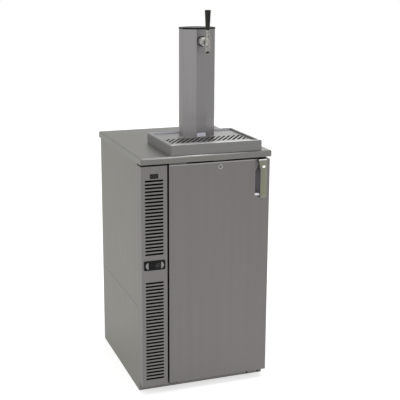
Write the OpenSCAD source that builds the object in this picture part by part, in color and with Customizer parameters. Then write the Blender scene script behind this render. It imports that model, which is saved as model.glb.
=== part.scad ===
// Draft beer cooler: a one-door keg cabinet with a louvred machine column,
// a drip tray on its worktop and a column with one tap.
// The front faces -Y, +X is to the right seen from the front and +Z is up.
// The origin is the centre of the body's footprint on the floor.

/* [Cabinet] */
// Width over the side panels
cab_w = 500; // [490:5:600]
// Depth of the body behind the door
cab_d = 525; // [505:5:620]
// Height of the worktop above the floor
cab_h = 900; // [895:5:1000]
// Height of the base strip under the door
plinth_h = 34; // [30:1:50]
// Sheet thickness of skins, liner and base
skin_t = 1; // [0.8:0.1:1.4]
// Thickness of the foam round the keg space
foam_t = 34; // [30:1:42]
// Height of the seam between the two left side panels
seam_z = 333; // [280:1:400]
// Gap between the two left side panels
seam_gap = 0.8; // [0.5:0.1:2]
// Width of the frame left standing round the machine opening
frame_edge = 9; // [6:1:12]

/* [Worktop] */
// Height of the worktop's folded lip
lip_h = 24; // [20:1:34]
// Open gap between the lip and the door
lip_gap = 6; // [5.5:0.5:9]
// Overhang behind the body
worktop_back = 24; // [4:1:60]
// Overhang past each side panel
worktop_side = 1; // [0.5:0.5:5]
// Rounding of the worktop's upper edges
worktop_edge = 5; // [3:0.5:8]
// Sheet thickness of the worktop
worktop_sheet = 1.2; // [1:0.1:2]
// How far the lip stands in front of the door
worktop_nose = 0.5; // [0:0.5:4]

/* [Louvred fascia] */
// Width of the fascia
fascia_w = 97.5; // [96:0.5:106]
// Sheet thickness of the fascia
fascia_sheet = 1.2; // [1:0.1:2]
// Length of a louvre slot
slot_w = 69.5; // [60:0.5:76]
// Height of a louvre slot
slot_h = 6.9; // [4:0.1:8]
// Distance between neighbouring slots
slot_pitch = 12.9; // [12:0.1:13]
// Number of slots above the controller
upper_slots = 22; // [12:1:22]
// Number of slots under the controller
lower_slots = 30; // [12:1:30]
// Fascia's top edge to the first slot
upper_drop = 53; // [48:1:56]
// Fascia's bottom edge to the last slot
lower_rise = 29; // [20:1:32]

/* [Switch and controller] */
// Length of the rocker switch's bezel
switch_w = 30; // [28:0.5:34]
// Height of the rocker switch's bezel
switch_h = 16.6; // [15:0.2:18]
// Fascia's top edge to the middle of the switch
switch_drop = 36.2; // [34:0.2:38]
// Angle that the rocker tilts to each side
rocker_tilt = 8; // [5:1:10]
// Width of the controller's bezel
ctrl_w = 80; // [76:1:82]
// Height of the controller's bezel
ctrl_h = 35; // [32:1:36]
// Last slot of the lower bank's top to the middle of the controller
ctrl_above = 67.5; // [60:0.5:70]
// Depth of the controller's case behind the fascia
ctrl_depth = 34; // [30:1:38]

/* [Door] */
// Open gap between the fascia and the door
door_gap = 7; // [6.5:0.5:10]
// Distance from the door's right edge to the right side panel's face
door_inset = 4.5; // [3:0.5:8]
// Thickness of the door without its gasket
door_t = 40; // [38:1:46]
// Thickness of the pressed gasket
gasket_t = 6.5; // [6:0.5:9]
// Width of the gasket
gasket_w = 12; // [10:1:16]
// Door's edges to the hinge pin's axis
pin_inset = 14; // [12:0.5:14]
// Radius of the hinge pins
pin_r = 5; // [4:0.5:6]
// Length of a hinge pin inside the door
pin_len = 13; // [10:1:18]

/* [Door handle] */
// Width of the grip bar
grip_w = 24; // [20:1:28]
// Height of the grip bar
grip_h = 144; // [120:2:160]
// How far the grip bar stands out of the door
grip_out = 15; // [12:1:20]
// Sheet thickness of the grip bar
grip_t = 2; // [1.5:0.5:3]
// Grip bar's right edge to the door's right edge
grip_inset = 19; // [17:1:24]
// Rounding of the door's free upper corner
door_corner = 6; // [4:0.5:8]
// How much wider the grip bar's flared top is
flare_w = 8; // [4:1:10]
// Height of the grip bar's flared top
flare_h = 38; // [30:1:44]
// Width of the finger recess
recess_w = 36; // [32:1:40]
// Height of the finger recess
recess_h = 96; // [80:2:110]
// Depth of the finger recess
recess_d = 24; // [20:1:28]

/* [Lock] */
// Radius of the lock's visible ring
lock_r = 9.5; // [8:0.5:11]
// Door's top edge to the lock's axis
lock_drop = 18.5; // [17:0.5:20]
// Radius of the turning plug
plug_r = 6; // [5:0.5:7]

/* [Drip tray] */
// Width of the drip tray
tray_w = 348; // [330:2:360]
// Depth of the drip tray
tray_d = 290; // [270:2:300]
// Height of the drip tray above the worktop
tray_h = 38; // [32:1:44]
// Width of the rim seen from above
tray_rim = 12; // [8:1:14]
// Depth of the deck below the rim
tray_recess = 6; // [4:0.5:8]
// Rounding of the rim's outer edge
tray_edge = 4; // [3:0.5:5]
// Sheet thickness of the tray
tray_sheet = 1.2; // [1:0.1:1.5]
// Tray's middle to the right of the cabinet's middle
tray_x = 40; // [34:1:44]
// Tray's front face behind the door's face
tray_setback = 6.5; // [4:0.5:12]
// Tray's front face to the column's front face
column_setback = 166.5; // [160:0.5:170]

/* [Drip grille] */
// Plate thickness of the grille
grille_t = 1.5; // [1:0.1:2]
// Width of a diagonal slot
grille_slot = 8; // [6:0.5:10]
// Distance between neighbouring diagonal slots, along X
grille_pitch = 20; // [17:0.5:24]
// Angle of the diagonal slots from the front-to-back line
grille_angle = 36; // [15:1:42]
// Height that the grille lifts out
grille_lift = 120; // [80:5:160]

/* [Tap column] */
// Height of the column above the tray's deck
column_h = 399; // [360:1:440]
// Width of the column
column_w = 126; // [116:1:130]
// Width of the column's front face
column_face = 40; // [38:1:50]
// Depth of the column
column_d = 104; // [98:1:110]
// Depth of the column's flat sides
column_side = 48; // [40:1:54]
// Wall of the column
column_wall = 1.5; // [1.2:0.1:2]
// Rounding of the column's folds
column_fold = 3; // [2:0.5:4]
// Thickness of the column's cap
cap_t = 6; // [5:0.5:10]
// Overhang of the column's cap
cap_over = 1.5; // [1:0.5:3]

/* [Tap] */
// Height of the tap's inlet axis above the tray's deck
tap_z = 356; // [330:1:358]
// Column's face to the tap's upright axis
tap_reach = 60; // [58:1:66]
// Radius of the collar on the column
collar_r = 19; // [17:0.5:19]
// Thickness of the collar
collar_t = 6; // [5:0.5:8]
// Radius of the coupling nut
coupling_r = 14.5; // [13:0.5:16]
// Length of the coupling nut
coupling_len = 20; // [18:1:22]
// Radius of the tap's barrel
barrel_r = 9; // [9:0.5:10]
// Radius of the spout below the barrel
spout_r = 9.6; // [9.2:0.1:10.5]
// Radius of the spout at its mouth
spout_end_r = 8.6; // [7.5:0.1:9]
// Radius of the spout's bore
spout_bore_r = 6; // [5:0.5:6.5]
// Slant of the spout's mouth, which opens down and forward
spout_angle = 38; // [20:1:42]
// Inlet axis to the middle of the spout's mouth
spout_drop = 37; // [34:1:42]
// Angle that the lever is pulled forward
lever_pull = 35; // [30:1:38]
// Height of the black handle
handle_h = 71; // [60:1:90]
// Radius of the handle's lower end
handle_low_r = 7.5; // [7:0.5:9]
// Radius of the handle's upper end
handle_top_r = 11.2; // [10:0.2:13]

/* [Beer line] */
// Radius of the beer line
line_r = 4.75; // [4:0.25:5]
// Radius of the beer line's bore
line_bore_r = 3.2; // [2.5:0.1:3.4]
// Outer radius of the duct through the foam
duct_r = 24; // [22:1:26]

/* [Machine bay] */
// Radius of the compressor's shell
comp_r = 41; // [36:1:43]
// Height of the compressor's shell
comp_h = 210; // [180:5:240]
// Radius of the condenser fan
fan_r = 40; // [34:1:41]
// Height of the condenser
cond_h = 360; // [300:10:380]
// Depth of the condenser
cond_d = 32; // [26:1:36]

/* [Evaporator] */
// Width of the evaporator's cover
evap_w = 236; // [220:4:244]
// Height of the evaporator's cover
evap_h = 250; // [230:5:270]
// Depth of the evaporator's cover
evap_d = 88; // [84:1:94]
// Radius of the evaporator fan
evap_fan_r = 52; // [46:1:56]

/* [Hidden] */
$fn = 48;

// Overrun of every cut
cut = 1;
// Clearance between pieces that fit loosely
loose = 0.3;
// Radial clearance of a running fit
run_fit = 0.05;
// Radial clearance round a piece that is fixed in a hole
snug = 0.2;

// Main planes of the cabinet
x_left = -cab_w / 2;
x_right = cab_w / 2;
y_body = -cab_d / 2;
y_back = cab_d / 2;
y_seal = y_body - gasket_t;
y_face = y_seal - door_t;
z_body = cab_h - lip_h;
z_leaf = z_body - lip_gap;
leaf_h = z_leaf - plinth_h;

// Inside faces of the outer skins
in_left = x_left + skin_t;
in_right = x_right - skin_t;
in_front = y_body + skin_t;
in_back = y_back - skin_t;
in_top = z_body - skin_t;

// Machine bay and keg space
x_part = x_left + fascia_w;
liner_x0 = x_part + skin_t + foam_t;
liner_x1 = in_right - foam_t;
liner_y1 = in_back - foam_t;
liner_z0 = plinth_h + foam_t;
liner_z1 = in_top - foam_t;
keg_x0 = liner_x0 + skin_t;
keg_x1 = liner_x1 - skin_t;
keg_y1 = liner_y1 - skin_t;
keg_z0 = liner_z0 + skin_t;
keg_z1 = liner_z1 - skin_t;
bay_mid_x = (in_left + x_part) / 2;
bay_w = x_part - in_left;

// Two fixing holes in the base strip
strip_hole_r = 4;
strip_hole_in = 15;
strip_hole_x = x_right - strip_hole_in;
strip_hole_pitch = 46;
strip_hole_z = 6;

// Lap strip behind the seam of the left side
lap_h = 20;
lap_inset = 8;

// Slots in the back panel for the machine bay's warm air
vent_count = 14;
vent_pitch = 16;
vent_h = 5;
vent_w = 60;
vent_z = 120;

// Fascia, switch and controller places
fascia_mid_x = x_left + fascia_w / 2;
upper_z = z_leaf - upper_drop;
lower_z = plinth_h + lower_rise;
lower_top_z = lower_z + (lower_slots - 1) * slot_pitch;
ctrl_z = lower_top_z + ctrl_above;
switch_z = z_leaf - switch_drop;
switch_proud = 1.6;
switch_wall = 2.4;
switch_depth = 20;
rocker_gap = 0.35;
rocker_thick = 6;
rocker_deep = 5;
rocker_pin_r = 1.2;
rocker_pin_len = 0.8;
bezel_proud = 3.2;
bezel_edge = 4.5;
case_margin = 4;
window_w = 40;
window_h = 22;
window_t = 1;
key_r = 13;
key_flat = 3;
key_place = 34;
key_t = 2.4;
key_proud = 0.5;
key_travel = 0.8;
key_gap = 0.3;

// Door places
door_x0 = x_part + door_gap;
door_x1 = x_right - door_inset;
door_w = door_x1 - door_x0;
door_mid_x = (door_x0 + door_x1) / 2;
pin_x = door_x0 + pin_inset;
pin_y = y_face + pin_inset;
gasket_in = 16;
plate_t = 4;
plate_play = 1;
plate_top_w = 66;
plate_bottom_w = 36;
bush_wall = 3;
bush_floor = 2;

// Grip bar and finger recess
grip_x1 = door_x1 - grip_inset;
grip_x0 = grip_x1 - grip_w;
grip_z1 = z_leaf;
grip_z0 = grip_z1 - grip_h;
grip_corner = 3;
recess_x1 = grip_x1 - grip_t - 0.5 * grip_t;
recess_x0 = recess_x1 - recess_w;
recess_z0 = grip_z0 + 3 * grip_t;
recess_z1 = recess_z0 + recess_h;
recess_tip = 27;
recess_tip_w = 7.5;
recess_step = 10;
cup_t = 1.2;

// Lock places
lock_x = door_mid_x;
lock_z = z_leaf - lock_drop;
lock_proud = 1.5;
lock_ring_t = 1.5;
lock_barrel_r = plug_r + 2;
lock_len = 30;
key_slot_w = 1.2;
key_slot_h = 6;
cam_t = 2.5;
cam_w = 8;
cam_play = 2.2;
cam_reach = lock_drop + lip_gap - cam_play;
keeper_w = 54;
keeper_t = 2;
keeper_play = 0.8;

// Drip tray and grille places
tray_x0 = tray_x - tray_w / 2;
tray_x1 = tray_x + tray_w / 2;
tray_y0 = y_face + tray_setback;
tray_y1 = tray_y0 + tray_d;
tray_z1 = cab_h + tray_h;
deck_z = tray_z1 - tray_recess;
ledge_w = 6;
grille_gap = 5;
grille_back = column_y0() - grille_gap;
grille_margin_x = 10;
grille_front_margin = 58;
grille_back_margin = 4;
basin_floor = 1.5;

// Column places
function column_y0() = tray_y0 + column_setback;
column_y = column_y0() + column_d / 2;
column_top = deck_z + column_h;
foot_t = 4;
foot_screw_r = 3;
foot_screw_head_r = 5.5;
foot_screw_head_t = 4;
foot_screw_x = 38;
foot_screw_y = 20;

// Tap places, all on the column's middle plane
inlet_z = deck_z + tap_z;
tap_y = column_y0() - tap_reach;
shank_r = 8;
shank_bore_r = 3.5;
shank_in = 24;
shank_nut_af = 24;
shank_nut_t = 8;
coupling_gap = 0.3;
neck_r = 9.5;
piston_bore_r = 6;
barrel_wall = 1.5;
bore_front = sqrt(pow(barrel_r - barrel_wall, 2) - pow(piston_bore_r, 2));
piston_r = piston_bore_r - loose;
piston_len = 14.6;
piston_slot = 6;
pivot_up = 17;
pivot_z = inlet_z + pivot_up;
knuckle_r = 6;
knuckle_half = 4.5;
knuckle_play = 0.1;
socket_r = knuckle_r + knuckle_play;
socket_half = knuckle_half + knuckle_play;
body_split = 2;
body_top_z = pivot_z - body_split;
bonnet_r = barrel_r + 0.8;
bonnet_skirt = 4;
neck_rod_r = 3;
tip_r = 2;
tip_len = 15.5;
neck_play = 0.4;
swing_reach = 14;
swing_angle = lever_pull + 2;
ferrule_up = 12;
swing_bulge = 1.1;
ferrule_z = pivot_z + ferrule_up;
ferrule_h = 15;
ferrule_r = 6.6;
handle_z = ferrule_z + ferrule_h;
rod_in_handle = 25;
handle_round = 2;
barrel_below = 9;
spout_z = inlet_z - barrel_below;
mouth_z = inlet_z - spout_drop;
mouth_low = spout_r * tan(spout_angle);
barrel_flare_h = 12;
outlet_r = 4;

// Beer line places
line_bend = 26;
shank_end_y = column_y0() + column_wall + shank_in;
line_y = shank_end_y + line_bend;
duct_wall = 2;
duct_up = 4;
fitting_boss_r = 8;
fitting_boss_h = 9;
fitting_flange_r = duct_r + 6;
fitting_flange_t = 4;
fitting_hex_af = 24;
fitting_hex_h = 10;
barb_len = 26;
sleeve_r = 17;
sleeve_short = 50;
sleeve_top = inlet_z - sleeve_short;

// Machine bay places
comp_y = 60;
comp_lift = 12;
comp_dome = 26;
comp_low_in = 2;
comp_top_in = 4;
grommet_r = 8;
grommet_spread = 28;
foot_plate_t = 3;
cond_in = 34;
cond_y0 = y_body + cond_in;
cond_z0 = 56;
cond_side = 4;
cond_fins = 16;
fin_t = 0.8;
cond_tubes = 9;
tube_r = 4;
shroud_t = 1.5;
shroud_gap = 3;
shroud_depth = 28;
fan_clear = 2.5;
hub_r = 14;
hub_t = 14;
blade_count = 5;
blade_t = 1.6;
blade_pitch = 28;
motor_r = 18;
motor_t = 24;
motor_arm_w = 8;
motor_plate_t = 2;
axle_r = 3;
axle_grip = 10;
blade_share = 0.7;
cond_y1 = cond_y0 + cond_d;
cond_fan_in = 14;
cond_fan_y = cond_y1 + shroud_gap + cond_fan_in;

// Evaporator places
evap_x = (keg_x0 + keg_x1) / 2;
evap_top_gap = 14;
evap_z1 = keg_z1 - evap_top_gap;
evap_z0 = evap_z1 - evap_h;
evap_y1 = keg_y1;
evap_y0 = evap_y1 - evap_d;
evap_sheet = 1.2;
evap_fins = 18;
evap_coil_d = 38;
evap_coil_margin = 8;
evap_tubes = 5;
evap_fan_in = 16;
evap_fan_y = evap_y0 + evap_fan_in;

// Power gland
gland_x = bay_mid_x;
gland_z = 90;
gland_r = 11;
gland_bore_r = 5;
gland_out = 16;
gland_in = 8;
gland_thread_r = 8;

// Corners of the column's plan, anticlockwise from the front left
function column_plan() = [
    [-column_face / 2, -column_d / 2], [column_face / 2, -column_d / 2],
    [column_w / 2, -column_side / 2], [column_w / 2, column_side / 2],
    [column_face / 2, column_d / 2], [-column_face / 2, column_d / 2],
    [-column_w / 2, column_side / 2], [-column_w / 2, -column_side / 2]];

// Unit vector of v, and the left-hand normal of the edge from a to b
function unit(v) = v / norm(v);
function outward(a, b) = let(u = unit(b - a)) [u[1], -u[0]];

// Corners of a plan moved outward by d
function grown(p, d) = [for (i = [0 : len(p) - 1])
    let(a = p[(i + len(p) - 1) % len(p)], b = p[i], c = p[(i + 1) % len(p)],
        n = outward(a, b), m = outward(b, c))
    b + d * (n + m) / (1 + n * m)];

// A convex plan with every corner rounded to radius r, n points an arc
function rounded(p, r, n = 4) = [for (i = [0 : len(p) - 1])
    let(a = p[(i + len(p) - 1) % len(p)], b = p[i], c = p[(i + 1) % len(p)],
        m1 = outward(a, b), m2 = outward(b, c), o = b - r * (m1 + m2) / (1 + m1 * m2),
        a1 = atan2(m1[1], m1[0]), turn = acos(max(-1, min(1, m1 * m2))))
    for (k = [0 : n]) o + r * [cos(a1 + turn * k / n), sin(a1 + turn * k / n)]];

module box(lo, hi) {
    translate(lo) cube(hi - lo);
}

module along_x(r, x0, x1, y, z) {
    translate([x0, y, z]) rotate([0, 90, 0]) cylinder(r = r, h = x1 - x0);
}

module along_y(r, y0, y1, x, z) {
    translate([x, y1, z]) rotate([90, 0, 0]) cylinder(r = r, h = y1 - y0);
}

// A flat shape in X and Z, standing from y0 to y1
module standing(y0, y1) {
    translate([0, y1, 0]) rotate([90, 0, 0]) linear_extrude(y1 - y0) children();
}

module round_rect(w, h, r) {
    square([w - 2 * r, h], center = true);
    square([w, h - 2 * r], center = true);
    for (x = [-1, 1], y = [-1, 1])
        translate([x * (w / 2 - r), y * (h / 2 - r)]) circle(r);
}

// A slot with round ends, centred, of whole length w
module long_hole(w, h) {
    square([w - h, h], center = true);
    for (x = [-1, 1]) translate([x * (w - h) / 2, 0]) circle(h / 2);
}

// A flat side view with its two upper corners rounded, standing on zero
module crowned(w, h, r) {
    translate([-w / 2, 0]) square([w, h - r]);
    translate([r - w / 2, 0]) square([w - 2 * r, h]);
    for (x = [-1, 1]) translate([x * (w / 2 - r), h - r]) circle(r);
}

// A slab whose upper edges are all rounded, standing on zero
module slab(w, d, h, r) {
    intersection() {
        translate([0, d / 2, 0]) rotate([90, 0, 0]) linear_extrude(d) crowned(w, h, r);
        translate([-w / 2, 0, 0]) rotate([90, 0, 90]) linear_extrude(w) crowned(d, h, r);
    }
}

// Cabinet body

module base_pan() {
    color("dimgray") difference() {
        union() {
            box([in_left, y_body, 0], [in_right, y_back, skin_t]);
            box([in_left, y_body, 0], [in_right, in_front, plinth_h]);
            box([in_left, in_back, 0], [in_right, y_back, plinth_h]);
        }
        for (x = [strip_hole_x, strip_hole_x - strip_hole_pitch])
            along_y(strip_hole_r, y_body - cut, in_front + cut, x, strip_hole_z);
    }
}

module front_frame() {
    color("gray") difference() {
        box([in_left, y_body, plinth_h], [in_right, in_front, z_body]);
        box([keg_x0, y_body - cut, keg_z0], [keg_x1, in_front + cut, keg_z1]);
        box([in_left + frame_edge, y_body - cut, plinth_h + frame_edge],
            [x_part - frame_edge, in_front + cut, z_body - 2 * frame_edge]);
    }
}

module side_panel_left_lower() {
    color("gray") {
        box([x_left, y_body, 0], [in_left, y_back, seam_z - seam_gap / 2]);
        box([in_left, in_front + lap_inset, seam_z - lap_h / 2],
            [in_left + skin_t, in_back - lap_inset, seam_z + lap_h / 2]);
    }
}

module side_panel_left_upper() {
    color("gray") box([x_left, y_body, seam_z + seam_gap / 2], [in_left, y_back, z_body]);
}

module side_panel_right() {
    color("gray") box([in_right, y_body, 0], [x_right, y_back, z_body]);
}

module back_panel() {
    color("gray") difference() {
        box([in_left, in_back, plinth_h], [in_right, y_back, z_body]);
        for (i = [0 : vent_count - 1])
            translate([bay_mid_x, 0, vent_z + i * vent_pitch])
                standing(in_back - cut, y_back + cut) long_hole(vent_w, vent_h);
        along_y(gland_thread_r + snug, in_back - cut, y_back + cut, gland_x, gland_z);
    }
}

module duct_hole(z0, z1) {
    translate([tray_x, line_y, z0 - cut]) cylinder(r = duct_r + snug, h = z1 - z0 + 2 * cut);
}

module roof_panel() {
    color("gray") difference() {
        box([in_left, in_front, in_top], [in_right, in_back, z_body]);
        duct_hole(in_top, z_body);
    }
}

module bay_partition() {
    color("gray") box([x_part, in_front, skin_t], [x_part + skin_t, in_back, in_top]);
}

module insulation() {
    color("khaki") difference() {
        box([x_part + skin_t, in_front, skin_t], [in_right, in_back, in_top]);
        box([liner_x0, in_front - cut, liner_z0], [liner_x1, liner_y1, liner_z1]);
        duct_hole(liner_z1, in_top);
    }
}

module inner_liner() {
    color("silver") difference() {
        box([liner_x0, in_front, liner_z0], [liner_x1, liner_y1, liner_z1]);
        box([keg_x0, in_front - cut, keg_z0], [keg_x1, keg_y1, keg_z1]);
        duct_hole(keg_z1, liner_z1);
    }
}

// Worktop

worktop_w = cab_w + 2 * worktop_side;
worktop_y0 = y_face - worktop_nose;
worktop_d = y_back + worktop_back - worktop_y0;
worktop_y = worktop_y0 + worktop_d / 2;

module worktop() {
    color("silver") difference() {
        translate([0, worktop_y, z_body]) slab(worktop_w, worktop_d, lip_h, worktop_edge);
        translate([0, worktop_y, z_body - cut])
            slab(worktop_w - 2 * worktop_sheet, worktop_d - 2 * worktop_sheet,
                 lip_h - worktop_sheet + cut, worktop_edge - worktop_sheet);
        duct_hole(z_body, cab_h);
    }
}

module worktop_core() {
    color("burlywood") difference() {
        translate([0, worktop_y, z_body])
            slab(worktop_w - 2 * worktop_sheet, worktop_d - 2 * worktop_sheet,
                 lip_h - worktop_sheet, worktop_edge - worktop_sheet);
        duct_hole(z_body, cab_h);
    }
}

// Louvred fascia with its switch and controller

module slot_bank(z0, count) {
    for (i = [0 : count - 1])
        translate([fascia_mid_x, 0, z0 + i * slot_pitch])
            standing(y_face - cut, y_face + fascia_sheet + cut) long_hole(slot_w, slot_h);
}

module louvre_fascia() {
    color("gray") difference() {
        box([x_left, y_face, plinth_h], [x_part, y_body, z_leaf]);
        box([x_left + fascia_sheet, y_face + fascia_sheet, plinth_h + fascia_sheet],
            [x_part - fascia_sheet, y_body + cut, z_leaf - fascia_sheet]);
        slot_bank(upper_z - (upper_slots - 1) * slot_pitch, upper_slots);
        slot_bank(lower_z, lower_slots);
        translate([fascia_mid_x, 0, switch_z])
            standing(y_face - cut, y_face + fascia_sheet + cut)
                square([switch_w - switch_wall + 2 * snug, switch_h - switch_wall + 2 * snug],
                       center = true);
        translate([fascia_mid_x, 0, ctrl_z])
            standing(y_face - cut, y_face + fascia_sheet + cut)
                square([ctrl_w - 2 * case_margin + 2 * snug,
                        ctrl_h - 2 * case_margin + 2 * snug], center = true);
    }
}

module switch_bezel() {
    inner_w = switch_w - 2 * switch_wall;
    inner_h = switch_h - 2 * switch_wall;
    color("black") translate([fascia_mid_x, 0, switch_z]) difference() {
        union() {
            standing(y_face - switch_proud, y_face) round_rect(switch_w, switch_h, switch_wall / 2);
            standing(y_face, y_face + switch_depth)
                square([switch_w - switch_wall, switch_h - switch_wall], center = true);
        }
        standing(y_face - switch_proud - cut, y_face + rocker_thick + rocker_deep)
            square([inner_w, inner_h], center = true);
        translate([0, y_face + rocker_thick / 2, -inner_h / 2 - rocker_pin_len])
            cylinder(r = rocker_pin_r + run_fit, h = inner_h + 2 * rocker_pin_len);
    }
}

// The rocker at rest is tilted, and its other end position is the same tilt mirrored
module switch_rocker() {
    w = switch_w - 2 * switch_wall - 2 * rocker_gap - rocker_gap;
    h = switch_h - 2 * switch_wall - 2 * rocker_gap;
    color("black") translate([fascia_mid_x, y_face + rocker_thick / 2, switch_z])
        rotate([0, 0, -rocker_tilt]) {
            translate([0, 0, -h / 2]) linear_extrude(h)
                polygon([[-w / 2, -rocker_thick / 2], [0, -rocker_thick / 4],
                         [w / 2, -rocker_thick / 2], [w / 2 - rocker_gap, rocker_gap],
                         [2 * rocker_pin_r, rocker_thick / 2],
                         [-2 * rocker_pin_r, rocker_thick / 2],
                         [rocker_gap - w / 2, rocker_gap]]);
            translate([0, 0, -h / 2 - rocker_pin_len])
                cylinder(r = rocker_pin_r, h = h + 2 * rocker_pin_len);
        }
}

// A key: a part of a round disc with a straight inner side, on the left for side -1
module key_shape(side, grow) {
    translate([side * (key_place - key_r), 0]) difference() {
        circle(key_r + grow);
        translate([-side * (key_r + grow - key_flat), 0])
            square([2 * key_r, 4 * key_r], center = true);
    }
}

module controller_case() {
    color("black") translate([fascia_mid_x, 0, ctrl_z]) difference() {
        union() {
            standing(y_face - bezel_proud, y_face) round_rect(ctrl_w, ctrl_h, bezel_edge);
            standing(y_face, y_face + ctrl_depth)
                square([ctrl_w - 2 * case_margin, ctrl_h - 2 * case_margin], center = true);
        }
        standing(y_face - bezel_proud - cut, y_face - bezel_proud + window_t)
            square([window_w, window_h], center = true);
        for (side = [-1, 1])
            standing(y_face - bezel_proud - cut, y_face - bezel_proud + key_t + key_travel)
                key_shape(side, key_gap);
    }
}

module controller_window() {
    color("darkslategray") translate([fascia_mid_x, 0, ctrl_z])
        standing(y_face - bezel_proud, y_face - bezel_proud + window_t)
            square([window_w, window_h], center = true);
}

module key(side) {
    color("silver") translate([fascia_mid_x, 0, ctrl_z])
        standing(y_face - bezel_proud - key_proud, y_face - bezel_proud + key_t - key_proud)
            key_shape(side, 0);
}

module key_left() { key(-1); }
module key_right() { key(1); }

// Hinges and lock keeper on the body

module hinge_plate_top() {
    z0 = z_leaf + plate_play;
    color("silver") {
        box([pin_x - pin_inset + skin_t, y_face + skin_t, z0],
            [pin_x - pin_inset + skin_t + plate_top_w, y_body, z0 + plate_t]);
        translate([pin_x, pin_y, z_leaf - pin_len]) cylinder(r = pin_r, h = pin_len + plate_play);
    }
}

module hinge_plate_bottom() {
    z1 = plinth_h - plate_play;
    color("silver") {
        box([pin_x - pin_inset + skin_t, y_face + skin_t, z1 - plate_t],
            [pin_x - pin_inset + skin_t + plate_bottom_w, y_body, z1]);
        translate([pin_x, pin_y, z1]) cylinder(r = pin_r, h = pin_len + plate_play);
    }
}

// A bridge under the lip with a slot that the lock's cam turns up into
module lock_keeper() {
    z1 = z_body;
    z0 = z_body - keeper_t;
    cam_y0 = lock_cam_y() - keeper_play;
    cam_y1 = lock_cam_y() + cam_t + keeper_play;
    color("silver") difference() {
        union() {
            box([lock_x - keeper_w / 2, y_face + skin_t, z0], [lock_x + keeper_w / 2, y_body, z1]);
            box([lock_x - keeper_w / 2, cam_y0 - keeper_t, z_leaf + keeper_play],
                [lock_x + keeper_w / 2, cam_y0, z0]);
            box([lock_x - keeper_w / 2, y_body - keeper_t, z_leaf + keeper_play],
                [lock_x + keeper_w / 2, y_body, z0]);
        }
        box([lock_x - cam_w, cam_y0, z0 - cut], [lock_x + cam_w, cam_y1, z1 + cut]);
    }
}

// Door

function recess_outline() = [
    [recess_x0, recess_z0], [recess_x1, recess_z0], [recess_x1, recess_z1 + recess_tip],
    [recess_x0 + recess_tip_w, recess_z1 + recess_tip],
    [recess_x0 + recess_tip_w * 2 / 3, recess_z1 + recess_step], [recess_x0, recess_z1]];

module recess_cut(grow, y0, y1) {
    standing(y0, y1) polygon(grown(recess_outline(), grow));
}

function lock_cam_y() = y_face + lock_len;

module bush_holes(r) {
    for (z = [plinth_h - cut, z_leaf - pin_len - bush_floor])
        translate([pin_x, pin_y, z]) cylinder(r = r, h = pin_len + bush_floor + cut);
}

module cam_pocket(y0, y1) {
    r = cam_reach + 2 * keeper_play;
    intersection() {
        along_y(r, y0, y1, lock_x, lock_z);
        box([lock_x - cam_w / 2 - loose, y0, lock_z - cam_w / 2 - loose],
            [lock_x + r, y1, z_leaf + cut]);
    }
}

// A block of the door's outline, all edges moved in by inset, with its free upper corner rounded
module door_block(inset, y0, y1) {
    x = door_x1 - door_corner;
    z = z_leaf - door_corner;
    difference() {
        box([door_x0 + inset, y0, plinth_h + inset], [door_x1 - inset, y1, z_leaf - inset]);
        difference() {
            box([x, y0 - cut, z], [door_x1 + cut, y1 + cut, z_leaf + cut]);
            along_y(door_corner - inset, y0 - 2 * cut, y1 + 2 * cut, x, z);
        }
    }
}

module door_skin() {
    color("gray") difference() {
        door_block(0, y_face, y_seal - skin_t);
        door_block(skin_t, y_face + skin_t, y_seal);
        recess_cut(cup_t, y_face - cut, y_face + skin_t + cut);
        along_y(lock_barrel_r + snug, y_face - cut, y_face + skin_t + cut, lock_x, lock_z);
        bush_holes(pin_r + bush_wall + snug);
        cam_pocket(lock_cam_y() - loose, lock_cam_y() + cam_t + loose);
    }
}

module door_foam() {
    color("khaki") difference() {
        door_block(skin_t, y_face + skin_t, y_seal - skin_t);
        recess_cut(cup_t, y_face, y_face + recess_d + cup_t);
        along_y(lock_barrel_r + snug, y_face, lock_cam_y() + cam_t + loose, lock_x, lock_z);
        bush_holes(pin_r + bush_wall + snug);
        cam_pocket(lock_cam_y() - loose, lock_cam_y() + cam_t + loose);
    }
}

module door_liner() {
    color("silver") door_block(0, y_seal - skin_t, y_seal);
}

module door_gasket() {
    color("dimgray") difference() {
        box([door_x0 + gasket_in, y_seal, plinth_h + gasket_in],
            [door_x1 - gasket_in, y_body, z_leaf - gasket_in]);
        box([door_x0 + gasket_in + gasket_w, y_seal - cut, plinth_h + gasket_in + gasket_w],
            [door_x1 - gasket_in - gasket_w, y_body + cut, z_leaf - gasket_in - gasket_w]);
    }
}

module door_bushes() {
    color("white") for (z = [plinth_h, z_leaf - pin_len - bush_floor])
        translate([pin_x, pin_y, z]) difference() {
            cylinder(r = pin_r + bush_wall, h = pin_len + bush_floor);
            translate([0, 0, z == plinth_h ? -cut : bush_floor - loose])
                cylinder(r = pin_r + run_fit, h = pin_len + loose + cut);
        }
}

module handle_cup() {
    color("dimgray") difference() {
        recess_cut(cup_t, y_face, y_face + recess_d + cup_t);
        recess_cut(0, y_face - cut, y_face + recess_d);
    }
}

module door_handle() {
    y0 = y_face - grip_out;
    color("darkkhaki") difference() {
        union() {
            translate([(grip_x0 + grip_x1) / 2, 0, (grip_z0 + grip_z1) / 2])
                standing(y0, y_face) round_rect(grip_w, grip_h, grip_corner);
            standing(y0, y_face) polygon([
                [grip_x0 + grip_corner, grip_z1 - flare_h - grip_corner], [grip_x0 + grip_w / 2, grip_z1],
                [grip_x0 - flare_w, grip_z1], [grip_x0 - flare_w, grip_z1 - grip_t],
                [grip_x0, grip_z1 - flare_h]]);
        }
        box([grip_x0 - flare_w - cut, y0 + grip_t, grip_z0 + grip_t],
            [grip_x1 - grip_t, y_face + cut, grip_z1 - grip_t]);
    }
}

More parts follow.
